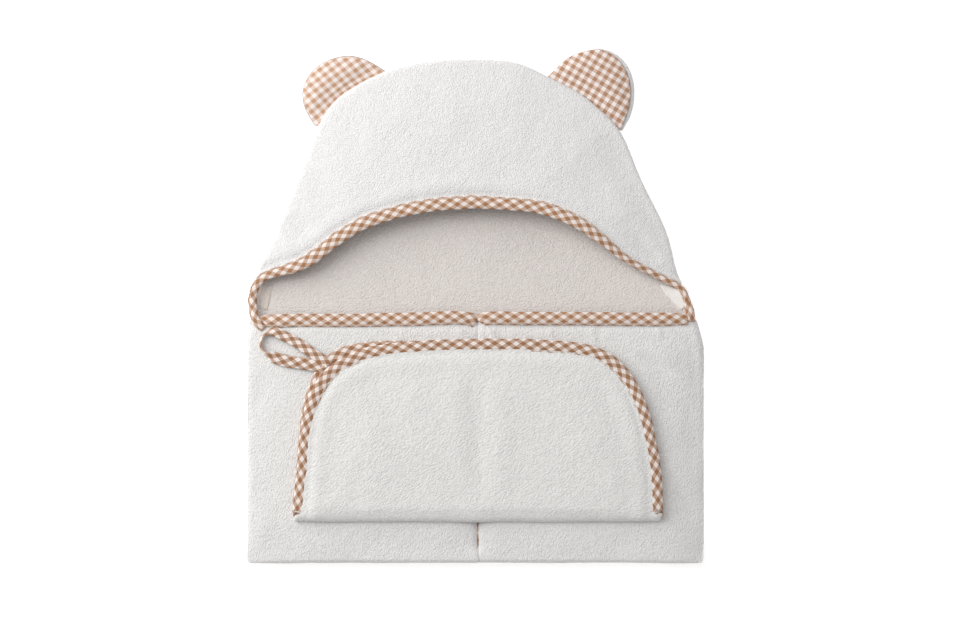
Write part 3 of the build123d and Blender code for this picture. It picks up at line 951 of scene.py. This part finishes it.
# Creases are (x0, y0, x1, y1, width, height).
LINING_CREASES = [(-120, 150, -60, 120, 14, 0.7), (40, 176, 110, 126, 16, -0.8),
                  (-40, 185, 30, 170, 14, 0.6)]
FRONT_CREASES = [
    (-152, 190, -128, 160, 8, -1.2), (-166, 172, -146, 158, 5, 0.9),
    (120, 186, 152, 150, 8, -1.5), (138, 176, 160, 150, 4.5, 1.0),
    (96, 222, 140, 172, 14, 0.9), (-120, 236, -90, 196, 16, 0.7),
    (-20, 262, 60, 238, 22, -0.7), (-50, 214, 20, 214, 8, 0.5),
    (104, 256, 118, 214, 13, -0.8), (-132, 226, -126, 196, 10, -0.6),
]
# Outline of the left corner patch, which carries painted shade.
LEFT_PATCH_OUTLINE = [(-171.6, 111.0), (-166.4, 133.6), (-173.4, 131.2), (-177.8, 124.0),
               (-178.0, 113.0)]
# Outline of the right corner patch, which carries painted light.
RIGHT_PATCH_OUTLINE = [(151.8, 132.6), (157.4, 123.6), (163.4, 117.4), (168.6, 111.6),
                (172.6, 112.4), (173.6, 120.0), (170.4, 128.6), (161.0, 131.8)]


def crease_plane(points):
    """Hood plane points in the x, y of the crease tables."""
    return np.stack([points[:, 0], points[:, 1] + HOOD_Y], 1)


def corner_lift(flat):
    """Rise of the lining beyond the fold line across each lower corner."""
    rise = np.zeros(len(flat))
    for start, end, lift in CORNER_FOLDS:
        along = np.array(end) - start
        along /= np.linalg.norm(along)
        across = (flat - start) @ np.array([-along[1], along[0]])
        rise += lift * smoothstep((across + 1.2) / 2.4) * np.clip(across, 0, 8) \
            * smoothstep((134 - flat[:, 1]) / 10.0)
    return rise


def hood_rise(points):
    """Height the hood's front gains or loses over its flat sheet: closed down to the back
    along the sewn outline, full and rounded in the middle."""
    x, slope = points[:, 0], points[:, 1]
    inset = distance_to(points, HOOD_CURVE)
    # a full upright rim and a level crown on the left, a long slope on the right
    right = smoothstep((x + 40) / 130.0)
    left_level = 8.0 * (1 - np.exp(-inset / 36.0)) + 3.6 * smoothstep(inset / 110.0)
    full = 10.0 + 6.5 * (1 - smoothstep((slope - 50) / 52.0))
    right_slope = -3.2 * (1 - smoothstep(inset / 30.0)) ** 1.1 \
        + full * smoothstep(inset / 100.0) ** 0.85
    # low on the right the front also falls towards the mouth
    low = smoothstep((x - 70) / 50.0) * smoothstep((96 - slope) / 50.0) \
        * smoothstep((inset - 4) / 26.0)
    fall = -3.4 * low * (1 - smoothstep(distance_to(points, MOUTH_CURVE) / 34.0))
    return left_level * (1 - right) + right_slope * right + fall


def open_share(flat):
    """How much of the hood's opening each point takes: none along the sewn outline,
    all of it well inside."""
    return smoothstep((distance_to(flat, HOOD_CURVE) - 3.0) / 92.0)


def blend_hood_base(piece):
    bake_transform(piece)


def blend_hood_front(piece, share):
    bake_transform(piece)


def hood_back():
    """The back panel, whose upper side is the lining seen through the mouth."""
    piece = remeshed("hood_back_cloth", [prism(HOOD_CURVE[HOOD_CURVE[:, 1] > 0.7], 0.15, 3.3),
                                         box(-183.2, 177.6, -5.4, 3, 0.15, 2.95)], 1.7, 4)
    points = get_points(piece)
    top = np.clip((points[:, 2] - 1.2) / 1.6, 0, 1)
    flat = crease_plane(points)
    points[:, 2] += top * (ridges(flat, LINING_CREASES) + corner_lift(flat))
    set_points(piece, points)
    terry(piece, 101, loops=0.16, waves=0.25, swell=0.35)
    keep_above(piece, 0.02)
    set_points(piece, hood_world(get_points(piece)))
    dress(piece, LINING)
    blend_hood_base(piece)
    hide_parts("hood_back_panel")


def corner_patch(side, outline, material):
    """A thin patch over the lining at a lower corner, beyond its fold line. Its material carries
    the facet's light: painted shade on the left corner, painted light on the right one.
    """
    piece = remeshed(f"{side}_corner_patch", [prism(to_hood(outline), 2.0, 4.5)], 0.8, 3)
    points = get_points(piece)
    top = np.clip((points[:, 2] - 2.6) / 1.0, 0, 1)
    points[:, 2] += top * (corner_lift(crease_plane(points)) - 0.35)
    set_points(piece, hood_world(points))
    roughen(piece, (0.1, 5.0, 180))
    shade_smooth(piece)
    dress(piece, material)
    blend_hood_base(piece)


def hood_front():
    rim = shifted(HOOD_CURVE, -0.3)
    rim = rim[rim[:, 1] > 22.2]
    # the cloth's edge lies just above the mouth line, closer to it at both ends
    offset = 3.2 - 1.9 * smoothstep((MOUTH_CURVE[:, 0] - 88) / 40.0) \
        - 1.0 * smoothstep((-MOUTH_CURVE[:, 0] - 135) / 30.0)
    across = shifted(MOUTH_CURVE, 1.0) - MOUTH_CURVE
    cut = MOUTH_CURVE + across * offset[:, None]
    # a sheet, and a wall that stands it off the back panel along the rim
    piece = remeshed("hood_front_cloth", [
        prism(np.vstack([rim, cut[::-1]]), 8.25, 11.35),
        prism(np.vstack([rim, shifted(rim, -3.2)[::-1]]), 2.2, 10.0)], 1.45, 4)
    points = get_points(piece)
    rise = hood_rise(points) * np.clip((points[:, 2] - 4.2) / 4.0, 0, 1)
    from_mouth = distance_to(points, MOUTH_CURVE)
    top = np.clip((points[:, 2] - 9.0) / 1.6, 0, 1)
    points[:, 2] += rise
    points[:, 2] -= top * 0.9 * np.exp(-((from_mouth - 6.8) / 2.4) ** 2)
    points[:, 2] += top * 0.5 * np.exp(-((from_mouth - 14) / 6.0) ** 2)
    points[:, 2] += ridges(crease_plane(points), FRONT_CREASES)
    set_points(piece, points)
    terry(piece, 121, loops=0.17, waves=0.3, swell=0.5)
    flat = get_points(piece)
    set_points(piece, hood_world(flat))
    dress(piece, HOOD_TERRY)
    blend_hood_front(piece, open_share(flat))
    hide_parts("hood_front_panel", "hood_perimeter_seam")


# Ends of the mouth binding in the hood plane, as (x, distance).
MOUTH_START = [(-183.4, 3.0), (-184.0, 8.5), (-183.2, 14.5), (-181.2, 20.2), (-176.6, 26.4)]
MOUTH_END = [(128.0, 40.2), (141.5, 33.2), (155.5, 26.4),
             (165.2, 21.6), (170.6, 17.2), (173.4, 11.6), (175.4, 5.4)]


def mouth_binding():
    """Binding and stitching along the mouth. Returns the binding's path."""
    flat = smooth_curve(MOUTH_START + to_hood(MOUTH)[1:-2] + MOUTH_END, 1.1)
    # the ends come down to the back panel
    low = smoothstep((24.0 - flat[:, 1]) / 14.0)
    height = (10.0 + hood_rise(flat)) * (1 - low) + 6.3 * low
    path = hood_world(np.column_stack([flat, evened(height, 8)]))

    def width(along, total):
        if along < total / 2:
            return 0.64 + 0.36 * smoothstep((along - 18) / 56.0)
        return 0.52 + 0.48 * smoothstep((total - along - 54) / 66.0)

    section = mirrored(binding_section(10.7, 4.6, 141, taper=1.0, slack=1.7), width)
    piece = tube("hood_mouth_binding", path, HOOD_UP, section)
    share = open_share(flat)
    dress(piece, BINDING)
    blend_hood_front(piece, tube_share(share))
    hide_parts("hood_face_binding")
    thread = stitches("hood_mouth_stitching", path[6:-6], HOOD_UP, offset=3.45, lift=1.75)
    dress(thread, THREAD)
    tree = point_tree(path)
    blend_hood_front(thread, [share[tree.find(point)[1]] for point in get_points(thread)])
    return path


def corner_strips(mouth_path):
    """Each end of the mouth binding carries on down over the end of the shoulder binding."""
    left_base = binding_section(10.8, 4.6, 147, taper=2.2, slack=1.5)
    right_base = binding_section(10.8, 4.6, 149, taper=2.2, slack=1.5)
    for side, head, tail, section in (
            ("left", mouth_path[8:1:-3],
             [(-182.6, 107.2, 20.4), (-180.4, 102.8, 20.9), (-176.8, 99.0, 20.7),
              (-174.2, 96.6, 19.8)],
             lambda i, along, total: left_base(i, along, total) * np.array([[0.66, 0.93]])),
            ("right", mouth_path[-9:-2:3],
             [(176.4, 111.6, 20.1), (177.0, 106.8, 20.6), (177.2, 102.2, 20.2)],
             mirrored(right_base,
                      lambda along, total: 0.53 + 0.2 * smoothstep(along / total)))):
        line = smooth_curve(np.vstack([head, tail]), 0.9)
        piece = tube(f"{side}_corner_strip", line, HOOD_UP, section, u_start=3.0)
        dress(piece, BINDING)
        blend_hood_base(piece)
        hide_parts(f"{side}_corner_binding")


EARS = {
    "left": dict(
        base=[(-131.6, 265.4), (-76.6, 309.2)],
        rounded=[(-139.2, 277.0), (-142.2, 291.0), (-136.0, 306.8),
                 (-120.0, 318.2), (-101.0, 320.9), (-84.0, 314.4)],
        grain=((36, 7.15), (-48, 6.1)),
        back_extra=0.0, fan=0.55, fold=0.5, gather=4.6, cord=(1.2, 4.4, 0.34)),
    "right": dict(
        base=[(60.6, 304.2), (119.6, 262.4)],
        rounded=[(66.0, 310.2), (78.0, 320.4), (91.0, 325.4), (104.0, 326.6), (118.4, 318.0),
                 (127.4, 298.0), (126.4, 280.0), (122.6, 268.0)],
        grain=((-31, 6.9), (59, 6.2)),
        back_extra=2.9, fan=0.3, fold=0.0, gather=1.2, cord=(0.9, 4.3, 0.26)),
}


class Ear:
    """One ear in the hood plane. along runs up its foot line and out points off the hood."""

    def __init__(self, side):
        self.side, self.look = side, EARS[side]
        self.start, end = np.array(to_hood(self.look["base"]))
        along = end - self.start
        self.length = np.linalg.norm(along)
        self.along = along = along / self.length
        self.out = out = np.array([-along[1], along[0]])
        self.arc = smooth_curve([tuple(self.start + out * 0.4 - along * 0.6)]
                                + to_hood(self.look["rounded"])
                                + [tuple(end + out * 0.4 + along * 0.6)], 1.0)
        self.foot = [end - out * 3.0 - along * 1.0, self.start - out * 3.0 + along * 1.0]
        self.centre = (self.start + end) / 2 + out * 18
        self.spread = unit(self.arc - self.centre)
        self.rim = point_tree([(x, y, 0) for x, y in HOOD_CURVE])

    def outside(self, points):
        """How far each point stands out past the hood's rim."""
        reach = np.empty(len(points))
        for i, (x, y) in enumerate(points[:, :2]):
            near, _, distance = self.rim.find((x, y, 0))
            beyond = (np.array([x, y]) - np.array(near[:2])) @ self.out > 0
            reach[i] = distance if beyond else -distance
        return reach

    def pressed(self, points):
        """Heights, sewn flat into the rim and swelling out beyond it."""
        swell = 0.56 + 0.44 * np.clip((self.outside(points) + 1.0) / 15.0, 0, 1) ** 0.8
        return 0.7 + (points[:, 2] - 0.7) * swell

    def wadding(self):
        piece = remeshed(f"{self.side}_ear_wadding",
                         [prism(self.arc - self.spread * 4.0, 3.5, 5.6)], 1.8, 3)
        points = get_points(piece)
        points[:, 2] = self.pressed(points)
        set_points(piece, hood_world(points))
        fit(piece, BATTING, "ear_padding", f"{self.side}_ear", f"{self.side}_ear_padding")

    def front(self):
        solids = [prism(np.vstack([self.arc + self.spread * 0.7, self.foot]), 3.2, 6.6)]
        swelling = None
        swelling = inflated(f"{self.side}_ear", solids, voxel=3.0, pressure=4.0, cap=2.6,
                            pinned=lambda rest: (rest[:, :2] - self.start) @ self.out < 3.0)
        piece = remeshed(f"{self.side}_ear_front_cloth", solids, 0.95, 4)
        points = get_points(piece)
        if swelling is not None:
            move = taken(points, *swelling)
            move[:, 2] = np.where(points[:, 2] < 4.6, 0, move[:, 2])
            move[:, :2] *= 0.25
            points = points + move
        inset = distance_to(points, self.arc)
        height = (points[:, :2] - self.start) @ self.out
        along = (points[:, :2] - self.start) @ self.along
        top = np.clip((points[:, 2] - 4.2) / 1.4, 0, 1)
        points[:, 2] += top * 0.9 * smoothstep(inset / 11.0)
        # gathers run out from the sewn foot
        phase = along * 2 * math.pi / 7.3 + 0.06 * height * np.sign(along - self.length / 2)
        points[:, 2] += top * self.look["fan"] * np.exp(-np.clip(height, 0, None) / 9.0) \
            * np.sin(phase) * np.clip(np.sin(np.clip(along / self.length, 0, 1) * math.pi), 0, 1)
        fold = np.exp(-((height - 12.5 - 0.12 * (along - 40)) / 2.0) ** 2) \
            * smoothstep((along - 18) / 12) * smoothstep((62 - along) / 14)
        points[:, 2] += top * self.look["fold"] * fold
        points[:, 2] = self.pressed(points)
        set_points(piece, points)
        # the check crowds together where the foot is gathered
        inner_part = np.clip((along - 6) / (self.length - 12), 0, 1)
        middle = np.clip(np.sin(inner_part * math.pi), 0, 1)
        near_rim = np.exp(-np.clip(self.outside(points), 0, None) / 5.0)
        drawn = self.look["gather"] * near_rim * middle
        planar_uv(piece, points[:, :2] - self.out * drawn[:, None], self.look["grain"],
                  self.centre)
        roughen(piece, (0.05, 4.0, 160))
        set_points(piece, hood_world(get_points(piece)))
        shade_smooth(piece)
        dress(piece, EAR_CHECK[self.side])
        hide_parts(f"{self.side}_ear_front")
        return piece

    def back(self):
        part = np.linspace(0, 1, len(self.arc))
        extra = self.look["back_extra"] * smoothstep((part - 0.3) / 0.3) \
            * (1 - 0.5 * smoothstep((part - 0.88) / 0.12))
        outline = self.arc + self.spread * 1.5 + self.spread * extra[:, None]
        piece = remeshed(f"{self.side}_ear_back_cloth",
                         [prism(np.vstack([outline, self.foot]), 0.7, 4.1)], 1.15, 4)
        terry(piece, 171, loops=0.13, waves=0.12, swell=0.1)
        points = get_points(piece)
        points[:, 2] = np.maximum(self.pressed(points), 0.5)
        set_points(piece, hood_world(points))
        dress(piece, TERRY)
        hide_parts(f"{self.side}_ear_back")
        return piece

    def shade_cord(self):
        """A thin grey cord round the rounded edge: a dark line put as painted shade where the
        ear's edge falls into shadow.
        """
        outset, height, radius = self.look["cord"]
        cord = self.arc + self.spread * outset
        cord = np.column_stack([cord, np.full(len(cord), height)])
        cord[:, 2] = self.pressed(cord)
        piece = tube(f"{self.side}_ear_edge_shade_cord", hood_world(cord), (0, 0, 1),
                     round_section(radius, 8))
        dress(piece, EAR_EDGE_SHADE_THREAD)
        return piece

    def build(self):
        self.wadding()
        pieces = [self.front(), self.back(), self.shade_cord()]
        start, end = hood_world([(*self.start, 2.0), (*(self.start + self.out * 7), 2.0)]) / 1000
        for piece in pieces:
            x, y, z = get_points(piece).T
            slope = (y - HOOD_Y) * COS_TILT - (z - HOOD_Z) * SIN_TILT
            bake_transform(piece)
            reach = self.outside(np.stack([x, slope], 1))


# ------------------------------------------------------------ shoulder bindings
# Paths as (x, y, height above the flap's sagging top).
SHOULDERS = {
    "left": [(-177.6, 102.4, -0.4), (-173, 102.6, -0.1), (-150, 103.2, 0), (-120, 103.4, 0),
             (-68, 103.9, 0), (-30, 105.0, 0), (-13, 105.6, 0.1), (-6, 105.0, -0.1),
             (-1.6, 103.3, -0.8), (1.2, 101.2, -2.0)],
    "right": [(3.6, 102.0, -1.5), (5.2, 103.8, -0.5), (9.4, 104.9, 0), (20, 105.2, 0.1),
              (60, 104.9, 0), (110, 104.6, 0), (150, 104.2, 0), (168, 104.1, 0),
              (175.6, 103.8, -0.3)],
}


def shoulder_binding(side, sign, seed, u_start):
    points = np.array(SHOULDERS[side], float)
    points[:, 2] += 22.35 - sag(points[:, 0], 104) * 0.97
    path = smooth_curve(points, 1.1)
    base = binding_section(10.8, 4.7, seed, slack=1.3)

    def section(i, along, total):
        from_outer = along if side == "left" else total - along
        size = 0.86 + 0.14 * smoothstep(from_outer / 20.0)
        return base(i, along, total) * np.array([[size, 0.92 + 0.08 * size]])

    body = f"{side}_side_panel"
    piece = tube(f"{side}_shoulder_binding_strip", path, (0, 0, 1), section, u_start)
    fit(piece, BINDING, "gingham_binding", body, f"{side}_shoulder_binding")
    thread = stitches(f"{side}_shoulder_stitching", path[4:-6], (0, 0, 1), offset=-3.5, lift=1.8)
    fit(thread, THREAD, "stitching", body)
    # the bound side edge, turned under the flap
    edge = resample([(sign * 78, FLAP_Y0 + 3, 17.2), (sign * 78, FLAP_Y1 - 1.5, 17.2)], 2.0)
    piece = tube(f"{side}_side_edge_binding_strip", edge, (0, 0, 1),
                 binding_section(10.4, 2.0, seed + 9, taper=3.0, slack=0.4), u_start)
    fit(piece, BINDING, "gingham_binding", body, f"{side}_side_edge_binding")


def edge_corner_strip():
    """The side edge's corner, just seen in the gap below the washcloth."""
    edge = smooth_curve([(1.6, -58, 16.8), (1.5, -68, 17.0), (1.7, -76, 16.7), (2.0, -85, 16.1)],
                        1.2)
    piece = tube("left_side_edge_corner_strip", edge, (0, 0, 1),
                 binding_section(4.4, 1.6, 260, taper=2.0, slack=0.4), u_start=3)
    fit(piece, BINDING, "gingham_binding", "left_side_panel")


# ------------------------------------------------------------------- washcloth
LOWER_BINDING_Z, UPPER_BINDING_Z = 24.95, 28.35
# Creases are (x0, y0, x1, y1, width, height).
CLOTH_CREASES = [
    (2, 60, 2, -50, 9, -1.1), (-18, 70, -14, -40, 10, 0.6), (24, 60, 20, -50, 10, 0.6),
    (-110, 40, -70, -30, 16, 0.7), (-90, 66, -60, 10, 14, -0.6), (70, 50, 116, -40, 16, 0.7),
    (96, 60, 128, 0, 10, -0.6), (-136, -20, -120, -56, 9, 0.5),
]


def sagged(points, share=1.0):
    """Points lowered to lie on the towel's sagging top."""
    points = points.copy()
    points[:, 2] -= sag(points[:, 0]) * share
    return points


def blend_washcloth(piece, share):
    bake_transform(piece)


def washcloth_lower():
    outline = shifted(smooth_curve(CLOTH_LOWER, 1.2), -1.2)
    outline = outline[outline[:, 1] > FOLD_Y + 11]
    piece = remeshed("washcloth_lower_cloth", [prism(outline, 23.55, 26.1)], 1.7, 4)
    set_points(piece, sagged(get_points(piece)))
    terry(piece, 301, loops=0.1, waves=0.08)
    fit(piece, CLOTH_TERRY, "terry", "washcloth_base", "washcloth_lower_half")


def washcloth_upper():
    """The upper half with its turn round the fold."""
    line = smooth_curve(CLOTH_UPPER, 1.2)
    outline = shifted(line, -1.2)
    x0, x1 = outline[0][0] + 1.2, outline[-1][0] - 1.2
    y0 = FOLD_Y - 0.2
    swelling = None
    rim = smooth_curve(CLOTH_UPPER, 3.0)
    swelling = inflated("washcloth_upper", [prism(outline, 21.8, 29.4)], voxel=3.6,
                        pressure=1.6, cap=2.2,
                        pinned=lambda rest: (rest[:, 2] < 25.0)
                        | (distance_to(rest, rim) < 10.0))
    piece = remeshed("washcloth_upper_cloth", [prism(outline, 27.2, 29.7),
                                               box(x0, x1, y0, FOLD_Y + 4, 23.5, 29.7),
                                               box(x0, x1, y0, FOLD_Y + 12, 23.5, 25.6)], 1.3, 4)
    points = get_points(piece)
    top = np.clip((points[:, 2] - 27.8) / 1.2, 0, 1)
    if swelling is not None:
        move = taken(points, *swelling)
        points[:, 2] += top * np.clip(move[:, 2], -0.4, 2.0)
    inset = distance_to(points, line)
    z = nose(points[:, 2], points[:, 1] - y0, 5.6, 24.3, 0.16)
    # the fold bellies towards -Y a little between its two corners
    part = np.clip((points[:, 0] - x0) / (x1 - x0), 0, 1)
    near_fold = np.clip(1 - (points[:, 1] - FOLD_Y) / 14.0, 0, 1)
    waver = noise(points[:, :1].repeat(2, 1), 34.0, 320)
    points[:, 1] += near_fold * (0.7 - 0.3 * np.sin(part * math.pi) - 0.45 * waver)
    z = z - 0.75 * near_fold**2
    # pressed in beside the binding, then full
    z -= top * 0.35 * np.exp(-((inset - 11.6) / 2.0) ** 2)
    z += top * 0.7 * np.exp(-((inset - 18) / 7.0) ** 2)
    points[:, 2] = z + top * ridges(points, CLOTH_CREASES)
    set_points(piece, points)
    terry(piece, 321, loops=0.15, waves=0.26, swell=0.4)
    dress(piece, CLOTH_TERRY)
    points = get_points(piece)
    share = fold_share(points[:, 1], points[:, 2], FOLD_Y + 3.6, 26.5, -1)
    set_points(piece, sagged(points))
    blend_washcloth(piece, share)
    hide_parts("washcloth_upper_half")


def binding_line(outline, bulge_centre, bulge):
    """Middle of a washcloth binding, moved outwards by bulge round one corner."""
    line = smooth_curve(outline, 1.1)
    inset = shifted(line, -BINDING_INSET)
    near = np.exp(-(np.linalg.norm(line - np.array(bulge_centre), axis=1) / 26.0) ** 2)
    return inset + (line - inset) / BINDING_INSET * bulge * near[:, None]


def washcloth_lower_binding():
    line = binding_line(CLOTH_LOWER, bulge_centre=(-112.0, 76.0), bulge=1.5)
    line = line[line[:, 1] > -46]
    path = sagged(np.column_stack([line, np.full(len(line), LOWER_BINDING_Z)]))
    piece = tube("washcloth_lower_binding_strip", path, (0, 0, 1),
                 binding_section(10.2, 3.0, 331), u_start=5)
    fit(piece, CLOTH_BINDING, "gingham_binding", "washcloth_base", "washcloth_lower_binding")


def washcloth_upper_binding():
    """The upper half's binding, which turns round the fold at both ends."""
    line = binding_line(CLOTH_UPPER, bulge_centre=(-110.0, 74.0), bulge=-1.4)
    line = line[line[:, 1] > -52]
    top_z, low_z, turn_y = UPPER_BINDING_Z, LOWER_BINDING_Z, -54.0
    middle_z, radius = (top_z + low_z) / 2, (top_z - low_z) / 2

    def turn(x):
        points = [(x, -44.0, low_z), (x, -49.0, low_z), (x, turn_y + 1.5, low_z)]
        for degrees in np.linspace(-90, 90, 9)[1:-1]:
            angle = math.radians(degrees)
            points.append((x, turn_y - (radius + 1.3) * math.cos(angle),
                           middle_z + radius * math.sin(angle)))
        return points

    path = resample(turn(line[0][0] - 0.3) + [(x, y, top_z) for x, y in line]
                    + turn(line[-1][0] + 0.3)[::-1], 1.0)
    path[3:-3] = evened(path, 3)[3:-3]
    tangent = unit(np.gradient(path, axis=0))
    along = lengths(path)
    # the height direction turns with the strip round the fold
    first, last = np.nonzero(path[:, 2] > top_z - 0.15)[0][[0, -1]]
    up = np.tile([0.0, 0.0, 1.0], (len(path), 1))
    for i in [*range(first), *range(last + 1, len(path))]:
        if path[i, 1] > turn_y + 1 and path[i, 2] < 26:
            up[i] = (0, 0, -1)
        else:
            normal = np.cross(tangent[i], (1.0 if i < first else -1.0, 0, 0))
            up[i] = normal / max(np.linalg.norm(normal), 1e-6)
    for _ in range(6):
        up = unit(evened(up, 1))
    # each station is weighted by how far round the fold it lies
    angle = np.degrees(np.arctan2(path[:, 2] - middle_z,
                                  np.maximum(turn_y + 1.5 - path[:, 1], 1e-6)))
    angle = np.where(path[:, 1] > turn_y + 1.4, np.sign(path[:, 2] - 26.6) * 90, angle)
    piece = tube("washcloth_upper_binding_strip", path, up,
                 binding_section(10.8, 3.9, 351, slack=1.3), u_start=21)
    dress(piece, CLOTH_BINDING)
    set_points(piece, sagged(get_points(piece)))
    blend_washcloth(piece, tube_share(smoothstep(0.5 + angle / 30.0)))
    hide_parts("washcloth_upper_binding")
    top = sagged(path[(along > along[first] + 3) & (along < along[last] - 3)])
    thread = stitches("washcloth_stitching", top, (0, 0, 1), offset=-3.5, lift=1.5)
    fit(thread, THREAD, "stitching", "washcloth_top")


# ------------------------------------------------------------------- hanging loop
LOOP_PATH = [    # x, y, z
    (-119.5, 66.4, 26.3), (-124.5, 70.2, 26.4), (-131.0, 74.4, 26.2), (-137.4, 78.6, 25.9),
    (-143.6, 82.8, 25.5), (-150.4, 87.0, 25.2), (-158.0, 90.6, 25.2), (-165.6, 93.8, 25.4),
    (-171.6, 92.6, 25.6), (-176.0, 88.2, 25.8), (-176.6, 81.6, 25.7), (-172.8, 76.4, 25.4),
    (-165.0, 72.8, 25.1), (-156.0, 70.0, 25.0), (-145.6, 68.4, 25.2), (-136.0, 67.2, 25.7),
    (-128.0, 65.6, 26.1), (-121.0, 63.2, 26.4),
]
LOOP_CENTRE = (-150, 79.6)


def hanging_loop():
    """A strip of the same binding, doubled back on itself and on edge at its turn."""
    path = smooth_curve(LOOP_PATH, 0.9)
    along = lengths(path)
    on_edge = 0.9 * smoothstep((-165.0 - path[:, 0]) / 9.0)
    returning = smoothstep((along / along[-1] - 0.5) / 0.12)
    out = np.zeros_like(path)
    out[:, :2] = unit(path[:, :2] - LOOP_CENTRE)
    lean = on_edge + 0.2 * (1 - on_edge) * (1 - returning)
    up = np.array([0, 0, 1.0]) * (1 - on_edge)[:, None] + out * lean[:, None]
    base = binding_section(9.4, 2.3, 401, taper=2.0, slack=0.7)

    def section(i, along, total):
        turn = smoothstep((-164.0 - path[i, 0]) / 9.0)
        back = smoothstep((along / total - 0.5) / 0.1)
        scale = np.array([[(0.9 + 0.14 * back) * (1 - 0.5 * turn), 1 - 0.1 * turn]])
        return base(i, along, total) * scale

    piece = tube("hanging_loop_ribbon", path, evened(up, 6), section, u_start=8)
    points = sagged(get_points(piece), 0.9)
    # what would sink into the towel is pressed almost flat on it
    floor_z = 23.5 - sag(points[:, 0]) * 0.9
    low = points[:, 2] < floor_z
    points[low, 2] = floor_z[low] + (points[low, 2] - floor_z[low]) * 0.1
    set_points(piece, points)
    fit(piece, CLOTH_BINDING, "gingham_binding", "hanging_loop_strip", "hanging_loop")


def bar_tack():
    """A dense zigzag of thread over the loop's ends."""
    start, end = np.array([-126.6, 64.2]), np.array([-122.0, 69.6])
    along = (end - start) / np.linalg.norm(end - start)
    across = np.array([-along[1], along[0]])
    turns = 22
    zigzag = []
    for k in range(turns + 1):
        x, y = start + (end - start) * (k / turns) + across * (1.0 if k % 2 else -1.0)
        zigzag.append((x, y, 27.2))
    piece = tube("loop_bar_tack_thread", resample(zigzag, 0.3), (0, 0, 1),
                 round_section(0.19, 6))
    fit(piece, THREAD, "stitching", "washcloth_base", "loop_bar_tack")


# --------------------------------------------------------------- stage, light and camera
def floor():
    size, cells = 9000, 24
    row = cells + 1
    verts = [((i / cells - 0.5) * size, (j / cells - 0.5) * size, 0)
             for j in range(row) for i in range(row)]
    faces = [(j * row + i, j * row + i + 1, (j + 1) * row + i + 1, (j + 1) * row + i)
             for j in range(cells) for i in range(cells)]
    piece = new_object("floor", verts, faces, smooth=False)
    piece.data.materials.append(Graph("floor_white").surface({
        "Base Color": (0.93, 0.93, 0.93),
        "Roughness": 0.9,
        "Emission Color": (1, 1, 1),
        "Emission Strength": 0.5,
    }))


def area_light(name, place, target, size, energy, colour=(1, 1, 1)):
    light = bpy.data.lights.new(name, "AREA")
    light.shape, light.size, light.energy, light.color = "DISK", size, energy, colour
    lamp = bpy.data.objects.new(name, light)
    COLLECTION.objects.link(lamp)
    lamp.location = place
    lamp.rotation_mode = "QUATERNION"
    lamp.rotation_quaternion = (Vector(target) - Vector(place)).to_track_quat("-Z", "Y")


def lighting():
    area_light("key", place=(-1.5, 0.95, 1.1), target=(0, 0.08, 0), size=2.0, energy=37.5,
               colour=(1, 0.995, 0.985))
    area_light("top", place=(-0.25, 1.0, 2.1), target=(0, 0.12, 0), size=1.4, energy=9)
    area_light("fill", place=(1.3, -0.9, 1.3), target=(0, 0.1, 0), size=1.4, energy=0.4,
               colour=(0.98, 0.99, 1))
    world = bpy.data.worlds.new("studio")
    bpy.context.scene.world = world
    world.use_nodes = True
    background = world.node_tree.nodes["Background"]
    background.inputs["Color"].default_value = (1, 1, 1, 1)
    background.inputs["Strength"].default_value = 0.43
    bpy.context.scene.view_settings.view_transform = "Standard"


def camera():
    """Looks straight down, taking in view_width at the height subject_z."""
    height, subject_z, view_width = 2.6, 0.018, 0.792
    data = bpy.data.cameras.new("camera")
    viewer = bpy.data.objects.new("camera", data)
    COLLECTION.objects.link(viewer)
    data.sensor_width = 36
    data.lens = data.sensor_width * (height - subject_z) / view_width
    data.clip_end = 50
    viewer.location = (0.0037125, 0.10362, height)
    bpy.context.scene.camera = viewer


# ------------------------------------------------------------------- assembly
for flap_side, flap in FLAPS.items():
    side_flap(flap_side, **flap)
middle_segment()
lower_segment()
hem_bindings()
fold_strips()
upper_back()
hood_back()
corner_patch("left", LEFT_PATCH_OUTLINE, SHADED_CORNER_PATCH)
corner_patch("right", RIGHT_PATCH_OUTLINE, LIT_CORNER_PATCH)
hood_front()
corner_strips(mouth_binding())
Ear("left").build()
Ear("right").build()
shoulder_binding("left", sign=-1, seed=201, u_start=13)
shoulder_binding("right", sign=1, seed=221, u_start=57)
edge_corner_strip()
washcloth_lower()
washcloth_upper()
washcloth_lower_binding()
washcloth_upper_binding()
hanging_loop()
bar_tack()
floor()
lighting()
camera()
